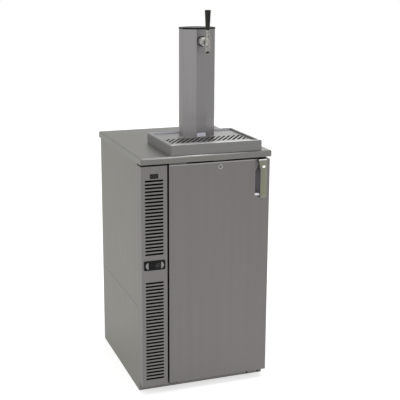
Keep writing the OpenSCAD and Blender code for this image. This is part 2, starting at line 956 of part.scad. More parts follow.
module lock_housing() {
    color("silver") difference() {
        union() {
            along_y(lock_r, y_face - lock_ring_t, y_face, lock_x, lock_z);
            along_y(lock_barrel_r, y_face, lock_cam_y() - loose, lock_x, lock_z);
        }
        along_y(plug_r + run_fit, y_face - lock_ring_t - cut, lock_cam_y() + cut, lock_x, lock_z);
    }
}

module lock_plug() {
    color("silver") difference() {
        union() {
            along_y(plug_r, y_face - lock_proud, lock_cam_y(), lock_x, lock_z);
            box([lock_x - cam_w / 2, lock_cam_y(), lock_z - cam_w / 2],
                [lock_x + cam_reach, lock_cam_y() + cam_t, lock_z + cam_w / 2]);
        }
        box([lock_x - key_slot_w / 2, y_face - lock_proud - cut, lock_z - key_slot_h / 2],
            [lock_x + key_slot_w / 2, y_face + key_slot_h, lock_z + key_slot_h / 2]);
    }
}

// Drip tray and grille

module drip_tray() {
    ix0 = tray_x0 + tray_rim;
    ix1 = tray_x1 - tray_rim;
    iy0 = tray_y0 + tray_rim;
    iy1 = tray_y1 - tray_rim;
    seat_z = deck_z - grille_t;
    color("silver") difference() {
        translate([tray_x, (tray_y0 + tray_y1) / 2, cab_h]) slab(tray_w, tray_d, tray_h, tray_edge);
        box([ix0, iy0, deck_z], [ix1, iy1, tray_z1 + cut]);
        box([ix0, iy0, seat_z], [ix1, grille_back, tray_z1]);
        box([ix0 + ledge_w, iy0 + ledge_w, cab_h + basin_floor],
            [ix1 - ledge_w, grille_back - ledge_w, tray_z1]);
        difference() {
            box([tray_x0 + tray_sheet, tray_y0 + tray_sheet, cab_h - cut],
                [tray_x1 - tray_sheet, tray_y1 - tray_sheet, seat_z - tray_sheet]);
            box([ix0 + ledge_w - tray_sheet, iy0 + ledge_w - tray_sheet, cab_h - 2 * cut],
                [ix1 - ledge_w + tray_sheet, grille_back - ledge_w + tray_sheet, tray_z1]);
        }
        duct_hole(cab_h, deck_z);
        for (x = [-1, 1], y = [-1, 1])
            translate([tray_x + x * foot_screw_x, column_y + y * foot_screw_y, seat_z - 2 * cut])
                cylinder(r = foot_screw_r + snug, h = 2 * grille_t + 2 * cut);
    }
}

module drip_grille() {
    x0 = tray_x0 + tray_rim + loose;
    x1 = tray_x1 - tray_rim - loose;
    y0 = tray_y0 + tray_rim + loose;
    y1 = grille_back - loose;
    field_y0 = tray_y0 + tray_rim + grille_front_margin;
    field_y1 = y1 - grille_back_margin;
    field_h = field_y1 - field_y0;
    lean = field_h / 2 * tan(grille_angle);
    half = floor(((x1 - x0) / 2 - grille_margin_x + lean) / grille_pitch);
    color("gray") difference() {
        box([x0, y0, deck_z - grille_t], [x1, y1, deck_z]);
        translate([0, 0, deck_z - grille_t - cut]) linear_extrude(grille_t + 2 * cut)
            intersection() {
                translate([x0 + grille_margin_x, field_y0])
                    square([x1 - x0 - 2 * grille_margin_x, field_h]);
                for (i = [-half : half])
                    translate([tray_x + i * grille_pitch, (field_y0 + field_y1) / 2])
                        rotate(90 - grille_angle)
                            long_hole(field_h / cos(grille_angle), grille_slot);
            }
    }
}

// Tap column

module plan(z0, z1, grow, r) {
    translate([tray_x, column_y, z0]) linear_extrude(z1 - z0)
        polygon(rounded(grown(column_plan(), grow), r));
}

module tap_column() {
    color("lightslategray") difference() {
        plan(deck_z, column_top, 0, column_fold);
        plan(deck_z - cut, column_top + cut, -column_wall, column_fold - column_wall / 2);
        along_y(shank_r + snug, column_y0() - cut, column_y0() + column_wall + cut, tray_x, inlet_z);
    }
}

module column_cap() {
    color("black") {
        plan(column_top, column_top + cap_t - cap_over, cap_over, column_fold + cap_over);
        plan(column_top + cap_t - cap_over, column_top + cap_t, 0, column_fold);
        plan(column_top - cap_t, column_top, -column_wall - loose, column_fold - column_wall / 2);
    }
}

module column_foot() {
    color("dimgray") difference() {
        plan(deck_z, deck_z + foot_t, -column_wall, column_fold - column_wall / 2);
        duct_hole(deck_z, deck_z + foot_t);
        for (x = [-1, 1], y = [-1, 1])
            translate([tray_x + x * foot_screw_x, column_y + y * foot_screw_y, deck_z - cut])
                cylinder(r = foot_screw_r + snug, h = foot_t + 2 * cut);
    }
}

module column_screws() {
    color("silver") for (x = [-1, 1], y = [-1, 1])
        translate([tray_x + x * foot_screw_x, column_y + y * foot_screw_y, 0]) {
            translate([0, 0, deck_z - grille_t]) cylinder(r = foot_screw_r, h = foot_t + grille_t);
            translate([0, 0, deck_z + foot_t])
                cylinder(r = foot_screw_head_r, h = foot_screw_head_t, $fn = 6);
        }
}

// Tap

module tap_collar() {
    color("silver") translate([tray_x, column_y0(), inlet_z]) rotate([90, 0, 0])
        rotate_extrude() polygon([
            [shank_r + snug, 0], [collar_r, 0], [collar_r, collar_t / 2],
            [collar_r - collar_t / 3, collar_t], [shank_r + snug, collar_t]]);
}

module shank_nut() {
    y0 = column_y0() + column_wall;
    color("silver") difference() {
        translate([tray_x, y0 + shank_nut_t, inlet_z]) rotate([90, 0, 0])
            cylinder(r = shank_nut_af / 2 / cos(30), h = shank_nut_t, $fn = 6);
        along_y(shank_r + snug, y0 - cut, y0 + shank_nut_t + cut, tray_x, inlet_z);
    }
}

coupling_y1 = column_y0() - collar_t - coupling_gap;
coupling_y0 = coupling_y1 - coupling_len;
shank_front_y = coupling_y0 + coupling_len / 3;

module tap_shank() {
    color("silver") difference() {
        along_y(shank_r, shank_front_y, shank_end_y, tray_x, inlet_z);
        along_y(shank_bore_r, shank_front_y - cut, shank_end_y + cut, tray_x, inlet_z);
    }
}

module coupling_nut() {
    grip_n = 6;
    notch_r = 2;
    color("silver") difference() {
        translate([tray_x, coupling_y1, inlet_z]) rotate([90, 0, 0]) rotate_extrude() polygon([
            [shank_r + snug, 0], [coupling_r - notch_r / 2, 0], [coupling_r, notch_r / 2],
            [coupling_r, coupling_len - notch_r], [coupling_r - notch_r, coupling_len],
            [neck_r + snug, coupling_len], [neck_r + snug, coupling_len * 2 / 3],
            [shank_r + snug, coupling_len * 2 / 3]]);
        for (i = [0 : grip_n - 1])
            translate([tray_x, coupling_y0 + coupling_len / 2, inlet_z])
                rotate([0, i * 360 / grip_n, 0])
                    translate([0, 0, coupling_r]) rotate([90, 0, 0])
                        cylinder(r = notch_r, h = coupling_len / 3, center = true);
    }
}

// The space that a rod of half-width w sweeps from straight up to its pulled angle
module swing_slot(w, reach, a) {
    translate([tray_x - w, tap_y, pivot_z]) rotate([90, 0, 90]) linear_extrude(2 * w)
        polygon([[w, 0], [w, reach], swing_bulge * reach * [-sin(a / 2), cos(a / 2)],
                 [-reach * sin(a) - w * cos(a), reach * cos(a) - w * sin(a)],
                 [-w * cos(a), -w * sin(a)]]);
}

module tap_body() {
    color("silver") difference() {
        union() {
            along_y(neck_r, tap_y, coupling_y0 + coupling_len / 3 - loose, tray_x, inlet_z);
            translate([tray_x, tap_y, 0]) rotate_extrude()
                polygon([[0, mouth_z - mouth_low], [spout_end_r, mouth_z - mouth_low], [spout_r, spout_z],
                         [barrel_r, spout_z + barrel_flare_h], [barrel_r, body_top_z], [0, body_top_z]]);
        }
        along_y(piston_bore_r, tap_y - bore_front, coupling_y0 + coupling_len, tray_x, inlet_z);
        translate([tray_x, tap_y, spout_z - 2 * cut]) cylinder(r = outlet_r, h = inlet_z - spout_z);
        translate([tray_x, tap_y, mouth_z - mouth_low - cut])
            cylinder(r = spout_bore_r, h = spout_z - mouth_z + mouth_low);
        translate([tray_x, tap_y, mouth_z]) rotate([-spout_angle, 0, 0])
            box([-2 * spout_r, -2 * spout_r, -2 * spout_r], [2 * spout_r, 2 * spout_r, 0]);
        along_x(socket_r, tray_x - socket_half, tray_x + socket_half, tap_y, pivot_z);
        translate([0, 2 * tap_y, 2 * pivot_z]) rotate([180, 0, 0])
            swing_slot(tip_r + neck_play, tip_len + neck_play, swing_angle);
    }
}

module tap_bonnet() {
    color("silver") difference() {
        union() {
            translate([tray_x, tap_y, body_top_z]) cylinder(r = bonnet_r, h = bonnet_skirt);
            intersection() {
                translate([tray_x, tap_y, pivot_z]) sphere(r = barrel_r);
                translate([tray_x, tap_y, body_top_z]) cylinder(r = bonnet_r, h = 2 * barrel_r);
            }
        }
        along_x(socket_r, tray_x - socket_half, tray_x + socket_half, tap_y, pivot_z);
        swing_slot(neck_rod_r + neck_play, swing_reach, swing_angle);
    }
}

module tap_piston() {
    y0 = tap_y - bore_front + loose;
    color("darkgray") difference() {
        along_y(piston_r, y0, y0 + piston_len, tray_x, inlet_z);
        along_y(shank_bore_r - loose, y0 - cut, y0 + piston_len + cut, tray_x, inlet_z);
        box([tray_x - piston_r, tap_y - piston_slot / 2, inlet_z],
            [tray_x + piston_r, tap_y + piston_slot / 2, inlet_z + 2 * piston_r]);
    }
}

module tap_lever() {
    color("silver") translate([tray_x, tap_y, pivot_z]) {
        along_x(knuckle_r, -knuckle_half, knuckle_half, 0, 0);
        translate([0, 0, -tip_len]) cylinder(r = tip_r, h = tip_len);
        cylinder(r = neck_rod_r, h = handle_z - pivot_z + rod_in_handle);
    }
}

module lever_ferrule() {
    color("silver") translate([tray_x, tap_y, ferrule_z]) rotate_extrude() polygon([
        [neck_rod_r + run_fit, 0], [ferrule_r - loose, 0], [ferrule_r, ferrule_h / 4],
        [ferrule_r, ferrule_h / 2], [handle_low_r, ferrule_h * 3 / 4],
        [handle_low_r, ferrule_h], [neck_rod_r + run_fit, ferrule_h]]);
}

module tap_handle() {
    color("black") translate([tray_x, tap_y, handle_z]) rotate_extrude() polygon([
        [neck_rod_r + run_fit, 0], [handle_low_r, 0],
        [handle_top_r, handle_h - handle_round],
        [handle_top_r - handle_round / 3, handle_h - handle_round / 3],
        [handle_top_r - handle_round, handle_h],
        [0, handle_h + handle_round / 2], [0, rod_in_handle + loose],
        [neck_rod_r + run_fit, rod_in_handle + loose]]);
}

// Beer line from the keg space to the tap

line_low_z = keg_z1 + fitting_boss_h;
sleeve_bore_r = line_r + snug;

module line_profile() {
    difference() {
        circle(line_r);
        circle(line_bore_r);
    }
}

module beer_line() {
    color("gainsboro") {
        translate([tray_x, line_y, line_low_z])
            linear_extrude(inlet_z - line_bend - line_low_z) line_profile();
        translate([tray_x, shank_end_y, inlet_z - line_bend]) rotate([90, 0, 90])
            rotate_extrude(angle = 90) translate([line_bend, 0]) line_profile();
    }
}

module line_insulation() {
    color("dimgray") translate([tray_x, line_y, line_low_z]) difference() {
        cylinder(r = sleeve_r, h = sleeve_top - line_low_z);
        translate([0, 0, -cut]) cylinder(r = sleeve_bore_r, h = sleeve_top - line_low_z + 2 * cut);
    }
}

module line_duct() {
    color("white") translate([tray_x, line_y, keg_z1]) difference() {
        cylinder(r = duct_r, h = deck_z + foot_t + duct_up - keg_z1);
        translate([0, 0, -cut])
            cylinder(r = duct_r - duct_wall, h = deck_z + foot_t + duct_up - keg_z1 + 2 * cut);
    }
}

module line_fitting() {
    z1 = keg_z1 - fitting_flange_t;
    z2 = z1 - fitting_hex_h;
    color("silver") translate([tray_x, line_y, 0]) difference() {
        union() {
            translate([0, 0, keg_z1]) cylinder(r = fitting_boss_r, h = fitting_boss_h);
            translate([0, 0, z1]) cylinder(r = fitting_flange_r, h = fitting_flange_t);
            translate([0, 0, z2])
                cylinder(r = fitting_hex_af / 2 / cos(30), h = fitting_hex_h, $fn = 6);
            translate([0, 0, z2 - barb_len]) cylinder(r = line_r, h = barb_len);
        }
        translate([0, 0, z2 - barb_len - cut])
            cylinder(r = line_bore_r, h = keg_z1 + fitting_boss_h - z2 + barb_len + 2 * cut);
    }
}

// Refrigeration in the machine bay

module compressor() {
    z0 = skin_t + comp_lift;
    color("black") translate([bay_mid_x, comp_y, z0]) {
        rotate_extrude() polygon([
            [0, 0], [comp_r - comp_dome / 2, 0], [comp_r - comp_low_in, comp_dome / 4], [comp_r, comp_dome],
            [comp_r, comp_h - comp_dome], [comp_r - comp_top_in, comp_h - comp_dome / 2],
            [comp_r - comp_dome / 2, comp_h - comp_dome / 6], [comp_dome / 2, comp_h],
            [0, comp_h]]);
        difference() {
            translate([-comp_r, -comp_r - grommet_r, 0])
                cube([2 * comp_r, 2 * comp_r + 2 * grommet_r, foot_plate_t]);
            for (x = [-1, 1], y = [-1, 1])
                translate([x * grommet_spread, y * (comp_r - grommet_r / 4), -cut])
                    cylinder(r = grommet_r / 2 + snug, h = foot_plate_t + 2 * cut);
        }
    }
}

module compressor_grommets() {
    color("dimgray") for (x = [-1, 1], y = [-1, 1])
        translate([bay_mid_x + x * grommet_spread, comp_y + y * (comp_r - grommet_r / 4), skin_t]) {
            cylinder(r = grommet_r, h = comp_lift);
            cylinder(r = grommet_r / 2, h = comp_lift + foot_plate_t);
        }
}

module fin_block(x0, x1, y0, y1, z0, z1, fins, tubes, side, leg_z) {
    for (x = [x0, x1 - side]) box([x, y0, leg_z], [x + side, y1, z1]);
    for (i = [1 : fins])
        translate([x0 + side / 2 + i * (x1 - x0 - side) / (fins + 1) - fin_t / 2, y0, z0])
            cube([fin_t, y1 - y0, z1 - z0]);
    for (i = [0 : tubes - 1])
        along_x(tube_r, x0 - cut, x1 + cut, (y0 + y1) / 2, z0 + (i + 1) * (z1 - z0) / (tubes + 1));
}

module condenser_coil() {
    color("darkgray")
        fin_block(in_left + cond_side, x_part - cond_side, cond_y0, cond_y1,
                  cond_z0, cond_z0 + cond_h, cond_fins, cond_tubes, fin_t, skin_t);
}

// A fan wheel facing along Y, centred on its hub's middle, open behind for the motor's shaft
module fan_wheel(r, x, y, z) {
    translate([x, y, z]) rotate([90, 0, 0]) difference() {
        union() {
            translate([0, 0, -hub_t / 2]) cylinder(r = hub_r, h = hub_t);
            for (i = [0 : blade_count - 1]) rotate([0, 0, i * 360 / blade_count])
                intersection() {
                    translate([hub_r * 2 / 3, 0, 0]) rotate([blade_pitch, 0, 0])
                        translate([0, -r * blade_share / 2, -blade_t / 2])
                            cube([r, r * blade_share, blade_t]);
                    translate([0, 0, -hub_t / 2]) cylinder(r = r, h = hub_t);
                }
        }
        translate([0, 0, -hub_t / 2 - cut])
            cylinder(r = axle_r + run_fit, h = cut + axle_grip + loose);
    }
}

// A motor behind a fan wheel, with its shaft in the wheel's hub
module fan_motor(x, y, z, back_y) {
    along_y(motor_r, y + hub_t / 2 + loose, back_y, x, z);
    along_y(axle_r, y + hub_t / 2 - axle_grip, back_y, x, z);
}

module condenser_shroud() {
    y0 = cond_y1;
    y1 = cond_y1 + shroud_depth;
    z = cond_z0 + cond_h / 2;
    color("dimgray") {
        difference() {
            box([in_left + cond_side, y0, cond_z0], [x_part - cond_side, y1, cond_z0 + cond_h]);
            box([in_left + cond_side + shroud_t, y0 - cut, cond_z0 + shroud_t],
                [x_part - cond_side - shroud_t, y1 - shroud_t, cond_z0 + cond_h - shroud_t]);
            along_y(fan_r + fan_clear / 2, y1 - shroud_t - cut, y1 + cut, bay_mid_x, z);
        }
        fan_motor(bay_mid_x, cond_fan_y, z, y1 + motor_t);
        box([bay_mid_x - motor_arm_w / 2, y1, z - fan_r - motor_arm_w],
            [bay_mid_x + motor_arm_w / 2, y1 + motor_arm_w / 2, z + fan_r + motor_arm_w]);
    }
}

module condenser_fan() {
    color("black") fan_wheel(fan_r - fan_clear / 2, bay_mid_x, cond_fan_y, cond_z0 + cond_h / 2);
}

// Evaporator on the back wall of the keg space

module evaporator_cover() {
    x0 = evap_x - evap_w / 2;
    x1 = evap_x + evap_w / 2;
    fan_z = (evap_z0 + evap_z1) / 2;
    color("whitesmoke") {
        difference() {
            box([x0, evap_y0, evap_z0], [x1, evap_y1, evap_z1]);
            box([x0 + evap_sheet, evap_y0 + evap_sheet, evap_z0 - cut],
                [x1 - evap_sheet, evap_y1 + cut, evap_z1 - evap_sheet]);
            along_y(evap_fan_r + fan_clear, evap_y0 - cut, evap_y0 + evap_sheet + cut, evap_x, fan_z);
        }
        box([evap_x - motor_arm_w / 2, evap_y0 + evap_sheet + 2 * hub_t, evap_z0],
            [evap_x + motor_arm_w / 2, evap_y0 + evap_sheet + 2 * hub_t + motor_plate_t,
             evap_z1]);
        fan_motor(evap_x, evap_fan_y, fan_z, evap_y0 + evap_sheet + 2 * hub_t + motor_plate_t);
    }
}

module evaporator_coil() {
    color("darkgray")
        fin_block(evap_x - evap_w / 2 + evap_coil_margin, evap_x + evap_w / 2 - evap_coil_margin,
                  evap_y1 - evap_coil_d, evap_y1, evap_z0 + evap_coil_margin,
                  evap_z1 - evap_coil_margin, evap_fins, evap_tubes, fin_t,
                  evap_z0 + evap_coil_margin);
}

module evaporator_fan() {
    color("black") fan_wheel(evap_fan_r - fan_clear / 2, evap_x, evap_fan_y, (evap_z0 + evap_z1) / 2);
}

module power_gland() {
    color("black") difference() {
        union() {
            along_y(gland_thread_r, in_back - gland_in, y_back + gland_out, gland_x, gland_z);
            translate([gland_x, y_back + gland_out * 2 / 3, gland_z]) rotate([90, 0, 0])
                cylinder(r = gland_r, h = gland_out * 2 / 3, $fn = 6);
            translate([gland_x, in_back, gland_z]) rotate([90, 0, 0])
                cylinder(r = gland_r, h = gland_in / 2, $fn = 6);
        }
        along_y(gland_bore_r, in_back - gland_in - cut, y_back + gland_out + cut, gland_x, gland_z);
    }
}

base_pan();
front_frame();
side_panel_left_lower();
side_panel_left_upper();
side_panel_right();
back_panel();
roof_panel();
bay_partition();
insulation();
inner_liner();
worktop();
worktop_core();
louvre_fascia();
switch_bezel();
switch_rocker();
controller_case();
controller_window();
key_left();
key_right();
hinge_plate_top();
hinge_plate_bottom();
lock_keeper();
door_skin();
door_foam();
door_liner();
door_gasket();
door_bushes();
handle_cup();
door_handle();
lock_housing();
lock_plug();
drip_tray();
drip_grille();
tap_column();
column_cap();
column_foot();
column_screws();
tap_collar();
shank_nut();
tap_shank();
coupling_nut();
tap_body();
tap_bonnet();
tap_piston();
tap_lever();
lever_ferrule();
tap_handle();
beer_line();
line_insulation();
line_duct();
line_fitting();
compressor();
compressor_grommets();
condenser_coil();
condenser_shroud();
condenser_fan();
evaporator_cover();
evaporator_coil();
evaporator_fan();
power_gland();
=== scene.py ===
import math

import bmesh
import bpy
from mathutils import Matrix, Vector


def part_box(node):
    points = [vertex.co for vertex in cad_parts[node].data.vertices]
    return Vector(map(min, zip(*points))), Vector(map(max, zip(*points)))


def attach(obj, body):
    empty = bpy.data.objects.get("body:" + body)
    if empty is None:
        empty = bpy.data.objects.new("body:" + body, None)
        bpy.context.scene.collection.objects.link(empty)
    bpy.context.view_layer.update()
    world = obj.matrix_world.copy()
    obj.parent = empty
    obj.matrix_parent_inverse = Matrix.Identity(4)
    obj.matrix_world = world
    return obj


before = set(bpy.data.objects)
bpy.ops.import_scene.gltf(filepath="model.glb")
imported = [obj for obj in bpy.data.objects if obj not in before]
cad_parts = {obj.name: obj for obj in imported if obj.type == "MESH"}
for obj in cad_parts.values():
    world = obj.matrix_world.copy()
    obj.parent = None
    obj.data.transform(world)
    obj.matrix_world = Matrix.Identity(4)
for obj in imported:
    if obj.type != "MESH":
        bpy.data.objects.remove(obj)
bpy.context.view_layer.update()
SCENE = bpy.context.scene
SCENE.view_settings.view_transform = "Standard"

# Camera, from the fit to the photograph's straight edges
CAMERA_AT = (-1.09975, -3.18439, 1.52113)
CAMERA_DOWN, CAMERA_TURN = 13.20, -19.02  # degrees
CAMERA_LENS, CAMERA_SENSOR = 78.894, 36.0  # millimetres
CAMERA_SHIFT = (0.05275, -0.0458)


def make_camera():
    data = bpy.data.cameras.new("camera")
    data.sensor_width = CAMERA_SENSOR
    data.lens = CAMERA_LENS
    data.shift_x, data.shift_y = CAMERA_SHIFT
    data.clip_end = 60.0
    cam = bpy.data.objects.new("camera", data)
    cam.location = CAMERA_AT
    cam.rotation_euler = (math.radians(90.0 - CAMERA_DOWN), 0.0, math.radians(CAMERA_TURN))
    SCENE.collection.objects.link(cam)
    SCENE.camera = cam


make_camera()


# ---- Materials ----
class Tree:
    """Short words for building a material's nodes round one Principled shader."""

    def __init__(self, name):
        self.material = bpy.data.materials.new(name)
        self.material.use_nodes = True
        self.nodes = self.material.node_tree.nodes
        self.links = self.material.node_tree.links
        self.nodes.clear()
        out = self.nodes.new("ShaderNodeOutputMaterial")
        self.shader = self.nodes.new("ShaderNodeBsdfPrincipled")
        self.join(self.shader.outputs[0], out.inputs["Surface"])
        self.place = self.nodes.new("ShaderNodeTexCoord").outputs["Object"]

    def join(self, a, b):
        self.links.new(a, b)

    def set(self, name, value):
        """Link a socket to one of the shader's inputs, or give the input a plain value."""
        if isinstance(value, bpy.types.NodeSocket):
            self.join(value, self.shader.inputs[name])
        else:
            self.shader.inputs[name].default_value = value

    def scaled(self, scale, offset=(0, 0, 0)):
        n = self.nodes.new("ShaderNodeMapping")
        n.inputs["Scale"].default_value = scale
        n.inputs["Location"].default_value = offset
        self.join(self.place, n.inputs["Vector"])
        return n.outputs["Vector"]

    def noise(self, vector, detail=2.0, rough=0.5):
        n = self.nodes.new("ShaderNodeTexNoise")
        n.inputs["Scale"].default_value = 1.0
        n.inputs["Detail"].default_value = detail
        n.inputs["Roughness"].default_value = rough
        self.join(vector, n.inputs["Vector"])
        return n.outputs["Fac"]

    def cells(self, vector, scale=1.0):
        n = self.nodes.new("ShaderNodeTexVoronoi")
        n.inputs["Scale"].default_value = scale
        self.join(vector, n.inputs["Vector"])
        return n.outputs

    def ramp(self, value, low, high, out_low, out_high):
        n = self.nodes.new("ShaderNodeMapRange")
        for socket, number in (("From Min", low), ("From Max", high),
                               ("To Min", out_low), ("To Max", out_high)):
            n.inputs[socket].default_value = number
        self.join(value, n.inputs["Value"])
        return n.outputs["Result"]

    def calc(self, kind, a, b):
        n = self.nodes.new("ShaderNodeMath")
        n.operation = kind
        for socket, value in zip(n.inputs, (a, b)):
            if isinstance(value, (int, float)):
                socket.default_value = value
            else:
                self.join(value, socket)
        return n.outputs[0]

    def add(self, a, b):
        return self.calc("ADD", a, b)

    def times(self, a, b):
        return self.calc("MULTIPLY", a, b)

    def mix(self, fac, a, b):
        n = self.nodes.new("ShaderNodeMix")
        n.data_type = "RGBA"
        self.join(fac, n.inputs[0])
        n.inputs[6].default_value = (*a, 1.0)
        n.inputs[7].default_value = (*b, 1.0)
        return n.outputs[2]

    def tones(self, fac, color, low, high):
        """The colour from low to high times its level."""
        return self.mix(fac, shade(color, low), shade(color, high))

    def painted_foot_reflection(self, tint, low_z, high_z, gain):
        """Painted reflection: the colour times gain at low_z and below, down to plain at high_z
        and above.
        """
        parts = self.nodes.new("ShaderNodeSeparateXYZ")
        self.join(self.place, parts.inputs[0])
        lift = self.nodes.new("ShaderNodeVectorMath")
        lift.operation = "SCALE"
        self.join(tint, lift.inputs[0])
        self.join(self.ramp(parts.outputs["Z"], low_z, high_z, gain, 1.0), lift.inputs["Scale"])
        return lift.outputs[0]

    def bump(self, height, distance, strength):
        n = self.nodes.new("ShaderNodeBump")
        n.inputs["Distance"].default_value = distance
        n.inputs["Strength"].default_value = strength
        self.join(height, n.inputs["Height"])
        self.set("Normal", n.outputs["Normal"])


def shade(color, level):
    return tuple(x * level for x in color)


# Noise cycles per metre along X, Y and Z, for each direction of the grinding
GRAIN = {"x": (9.0, 900.0, 900.0), "y": (900.0, 9.0, 900.0), "z": (900.0, 900.0, 9.0)}
BAND = {"x": (1.2, 60.0, 60.0), "y": (60.0, 1.2, 60.0), "z": (60.0, 60.0, 1.2)}
HAZE = (3.0, 3.0, 3.0)
SMEAR = (60.0, 60.0, 25.0)
SPOTS = (150.0, 150.0, 110.0)
POLISH = (700.0, 700.0, 700.0)
MIDDLE = (0.3, 0.7)  # the span that holds most of a noise's values


def brushed(name, color, grain="z", rough=0.40, depth=1.0, metallic=1.0, seed=0.0, edge=0.86,
            pale=None):
    """Ground stainless sheet: fine grinding lines along one axis, softer bands, handling haze.

    edge is the sheet's level where it is seen at a grazing angle. pale is (low z, high z, gain)
    where the sheet is painted paler towards its foot, a painted reflection of the tray below."""
    t = Tree(name)
    fine = t.noise(t.scaled(GRAIN[grain], (seed, seed, seed)), detail=3.0, rough=0.62)
    band = t.noise(t.scaled(BAND[grain], (seed, 0, seed)))
    haze = t.noise(t.scaled(HAZE, (seed, seed, 0)), detail=3.0, rough=0.55)
    lines, bands, clouds = (t.ramp(v, *MIDDLE, -0.5, 0.5) for v in (fine, band, haze))
    tone = t.add(t.times(lines, 0.35 * depth), t.times(bands, 0.30))
    tone = t.add(tone, t.times(clouds, 0.35))
    tint = t.tones(t.add(tone, 0.5), color, 0.93, 1.07)
    t.set("Base Color", t.painted_foot_reflection(tint, *pale) if pale else tint)
    change = t.add(t.times(lines, 0.10 * depth), t.times(clouds, 0.05))
    t.set("Roughness", t.add(change, rough))
    t.bump(fine, 0.00002 * depth, 0.6)
    t.set("Metallic", metallic)
    t.set("Specular Tint", (edge, edge, edge - 0.01, 1.0))
    return t.material


def wiped(t, rough, detail):
    """Give a chromed or polished metal its wiping marks, and return them."""
    smear = t.noise(t.scaled(SMEAR), detail=detail, rough=0.6)
    t.set("Roughness", t.ramp(smear, *MIDDLE, rough * 0.7, rough * 1.4))
    t.bump(t.noise(t.scaled(POLISH)), 0.000006, 0.5)
    t.set("Metallic", 1.0)
    return smear


def polished(name, color, rough, edge=1.0):
    """Chrome or polished steel with faint wiping marks."""
    t = Tree(name)
    t.set("Base Color", t.tones(wiped(t, rough, 4.0), color, 0.92, 1.06))
    t.set("Specular Tint", (edge, edge, edge, 1.0))
    return t.material


def mottled(name, color, rough):
    """Chrome with a patchwork of dull and bright spots a few millimetres wide: painted reflections
    of the light and dark things round a chrome tap.
    """
    t = Tree(name)
    wiped(t, rough, 3.0)
    # painted reflection: dull and bright spots
    spots = t.noise(t.scaled(SPOTS, (3.0, 3.0, 3.0)), detail=3.0, rough=0.6)
    t.set("Base Color", t.tones(t.ramp(spots, 0.36, 0.66, 0.0, 1.0), color, 0.62, 1.45))
    return t.material


def moulded(name, color, rough=0.45, grain_size=1400.0, depth=0.00003, coat=0.0, spec=0.5):
    """Moulded plastic or paint with a fine skin texture and slight change of tone."""
    t = Tree(name)
    skin = t.noise(t.scaled((grain_size,) * 3), detail=3.0, rough=0.6)
    tone = t.noise(t.scaled((14.0, 14.0, 14.0)), detail=3.0)
    t.set("Base Color", t.tones(tone, color, 0.88, 1.10))
    t.set("Roughness", t.ramp(tone, *MIDDLE, rough * 0.88, rough * 1.12))
    t.bump(skin, depth, 0.7)
    t.set("Specular IOR Level", spec)
    t.set("Coat Weight", coat)
    t.set("Coat Roughness", 0.12)
    return t.material


def porous(name, color, cell=260.0, rough=0.9, depth=0.0006, spec=0.5):
    """Cut foam or a dust mat: small open cells and a mottled tone."""
    t = Tree(name)
    pores = t.cells(t.place, cell)["Distance"]
    tone = t.noise(t.scaled((22.0, 22.0, 22.0)), detail=5.0, rough=0.6)
    both = t.add(t.times(pores, 0.5), t.times(tone, 0.6))
    t.set("Base Color", t.tones(both, color, 0.72, 1.12))
    t.set("Roughness", rough)
    t.set("Specular IOR Level", spec)
    t.bump(pores, depth, 0.8)
    return t.material


def board(name, color):
    """Raw particle board."""
    t = Tree(name)
    chips = t.cells(t.scaled((150.0, 420.0, 420.0)))["Distance"]
    fleck = t.noise(t.scaled((60.0, 240.0, 240.0)), detail=4.0)
    both = t.add(t.times(chips, 0.6), t.times(fleck, 0.5))
    t.set("Base Color", t.tones(both, color, 0.6, 1.25))
    t.set("Roughness", 0.85)
    t.bump(fleck, 0.0004, 0.7)
    return t.material


def plated(name, color):
    """Zinc-plated sheet with its crystal pattern."""
    t = Tree(name)
    crystals = t.cells(t.place, 70.0)
    parts = t.nodes.new("ShaderNodeSeparateColor")
    t.join(crystals["Color"], parts.inputs[0])
    cloud = t.noise(t.scaled((5.0, 5.0, 5.0)), detail=4.0)
    both = t.add(t.times(parts.outputs[0], 0.5), t.times(cloud, 0.5))
    t.set("Base Color", t.tones(both, color, 0.86, 1.12))
    t.set("Roughness", t.ramp(parts.outputs[1], 0.0, 1.0, 0.34, 0.50))
    t.set("Metallic", 0.9)
    t.bump(crystals["Distance"], 0.00004, 0.4)
    return t.material


def inlay_metal():
    """The warm grey band in the grip's face, ground along its length."""
    t = Tree("grip_inlay")
    fine = t.noise(t.scaled(GRAIN["z"], (20, 20, 20)), detail=3.0)
    band = t.noise(t.scaled(BAND["z"]))
    both = t.add(t.times(fine, 0.5), t.times(band, 0.5))
    t.set("Base Color", t.mix(both, (0.205, 0.210, 0.156), (0.250, 0.256, 0.190)))
    t.set("Roughness", t.ramp(fine, *MIDDLE, 0.42, 0.55))
    t.set("Metallic", 0.6)
    t.bump(fine, 0.00002, 0.5)
    return t.material


def digit_paint():
    """A display's segments, unlit but faintly paler than its window."""
    t = Tree("unlit_digits")
    speckle = t.noise(t.scaled((900.0, 900.0, 900.0)), detail=1.0)
    t.set("Base Color", t.mix(speckle, (0.085, 0.082, 0.078), (0.115, 0.112, 0.105)))
    t.set("Roughness", 0.4)
    return t.material


# Colours are linear
FRONT = (0.178, 0.171, 0.167)
SIDE = (0.184, 0.181, 0.163)
TOP = (0.180, 0.177, 0.165)

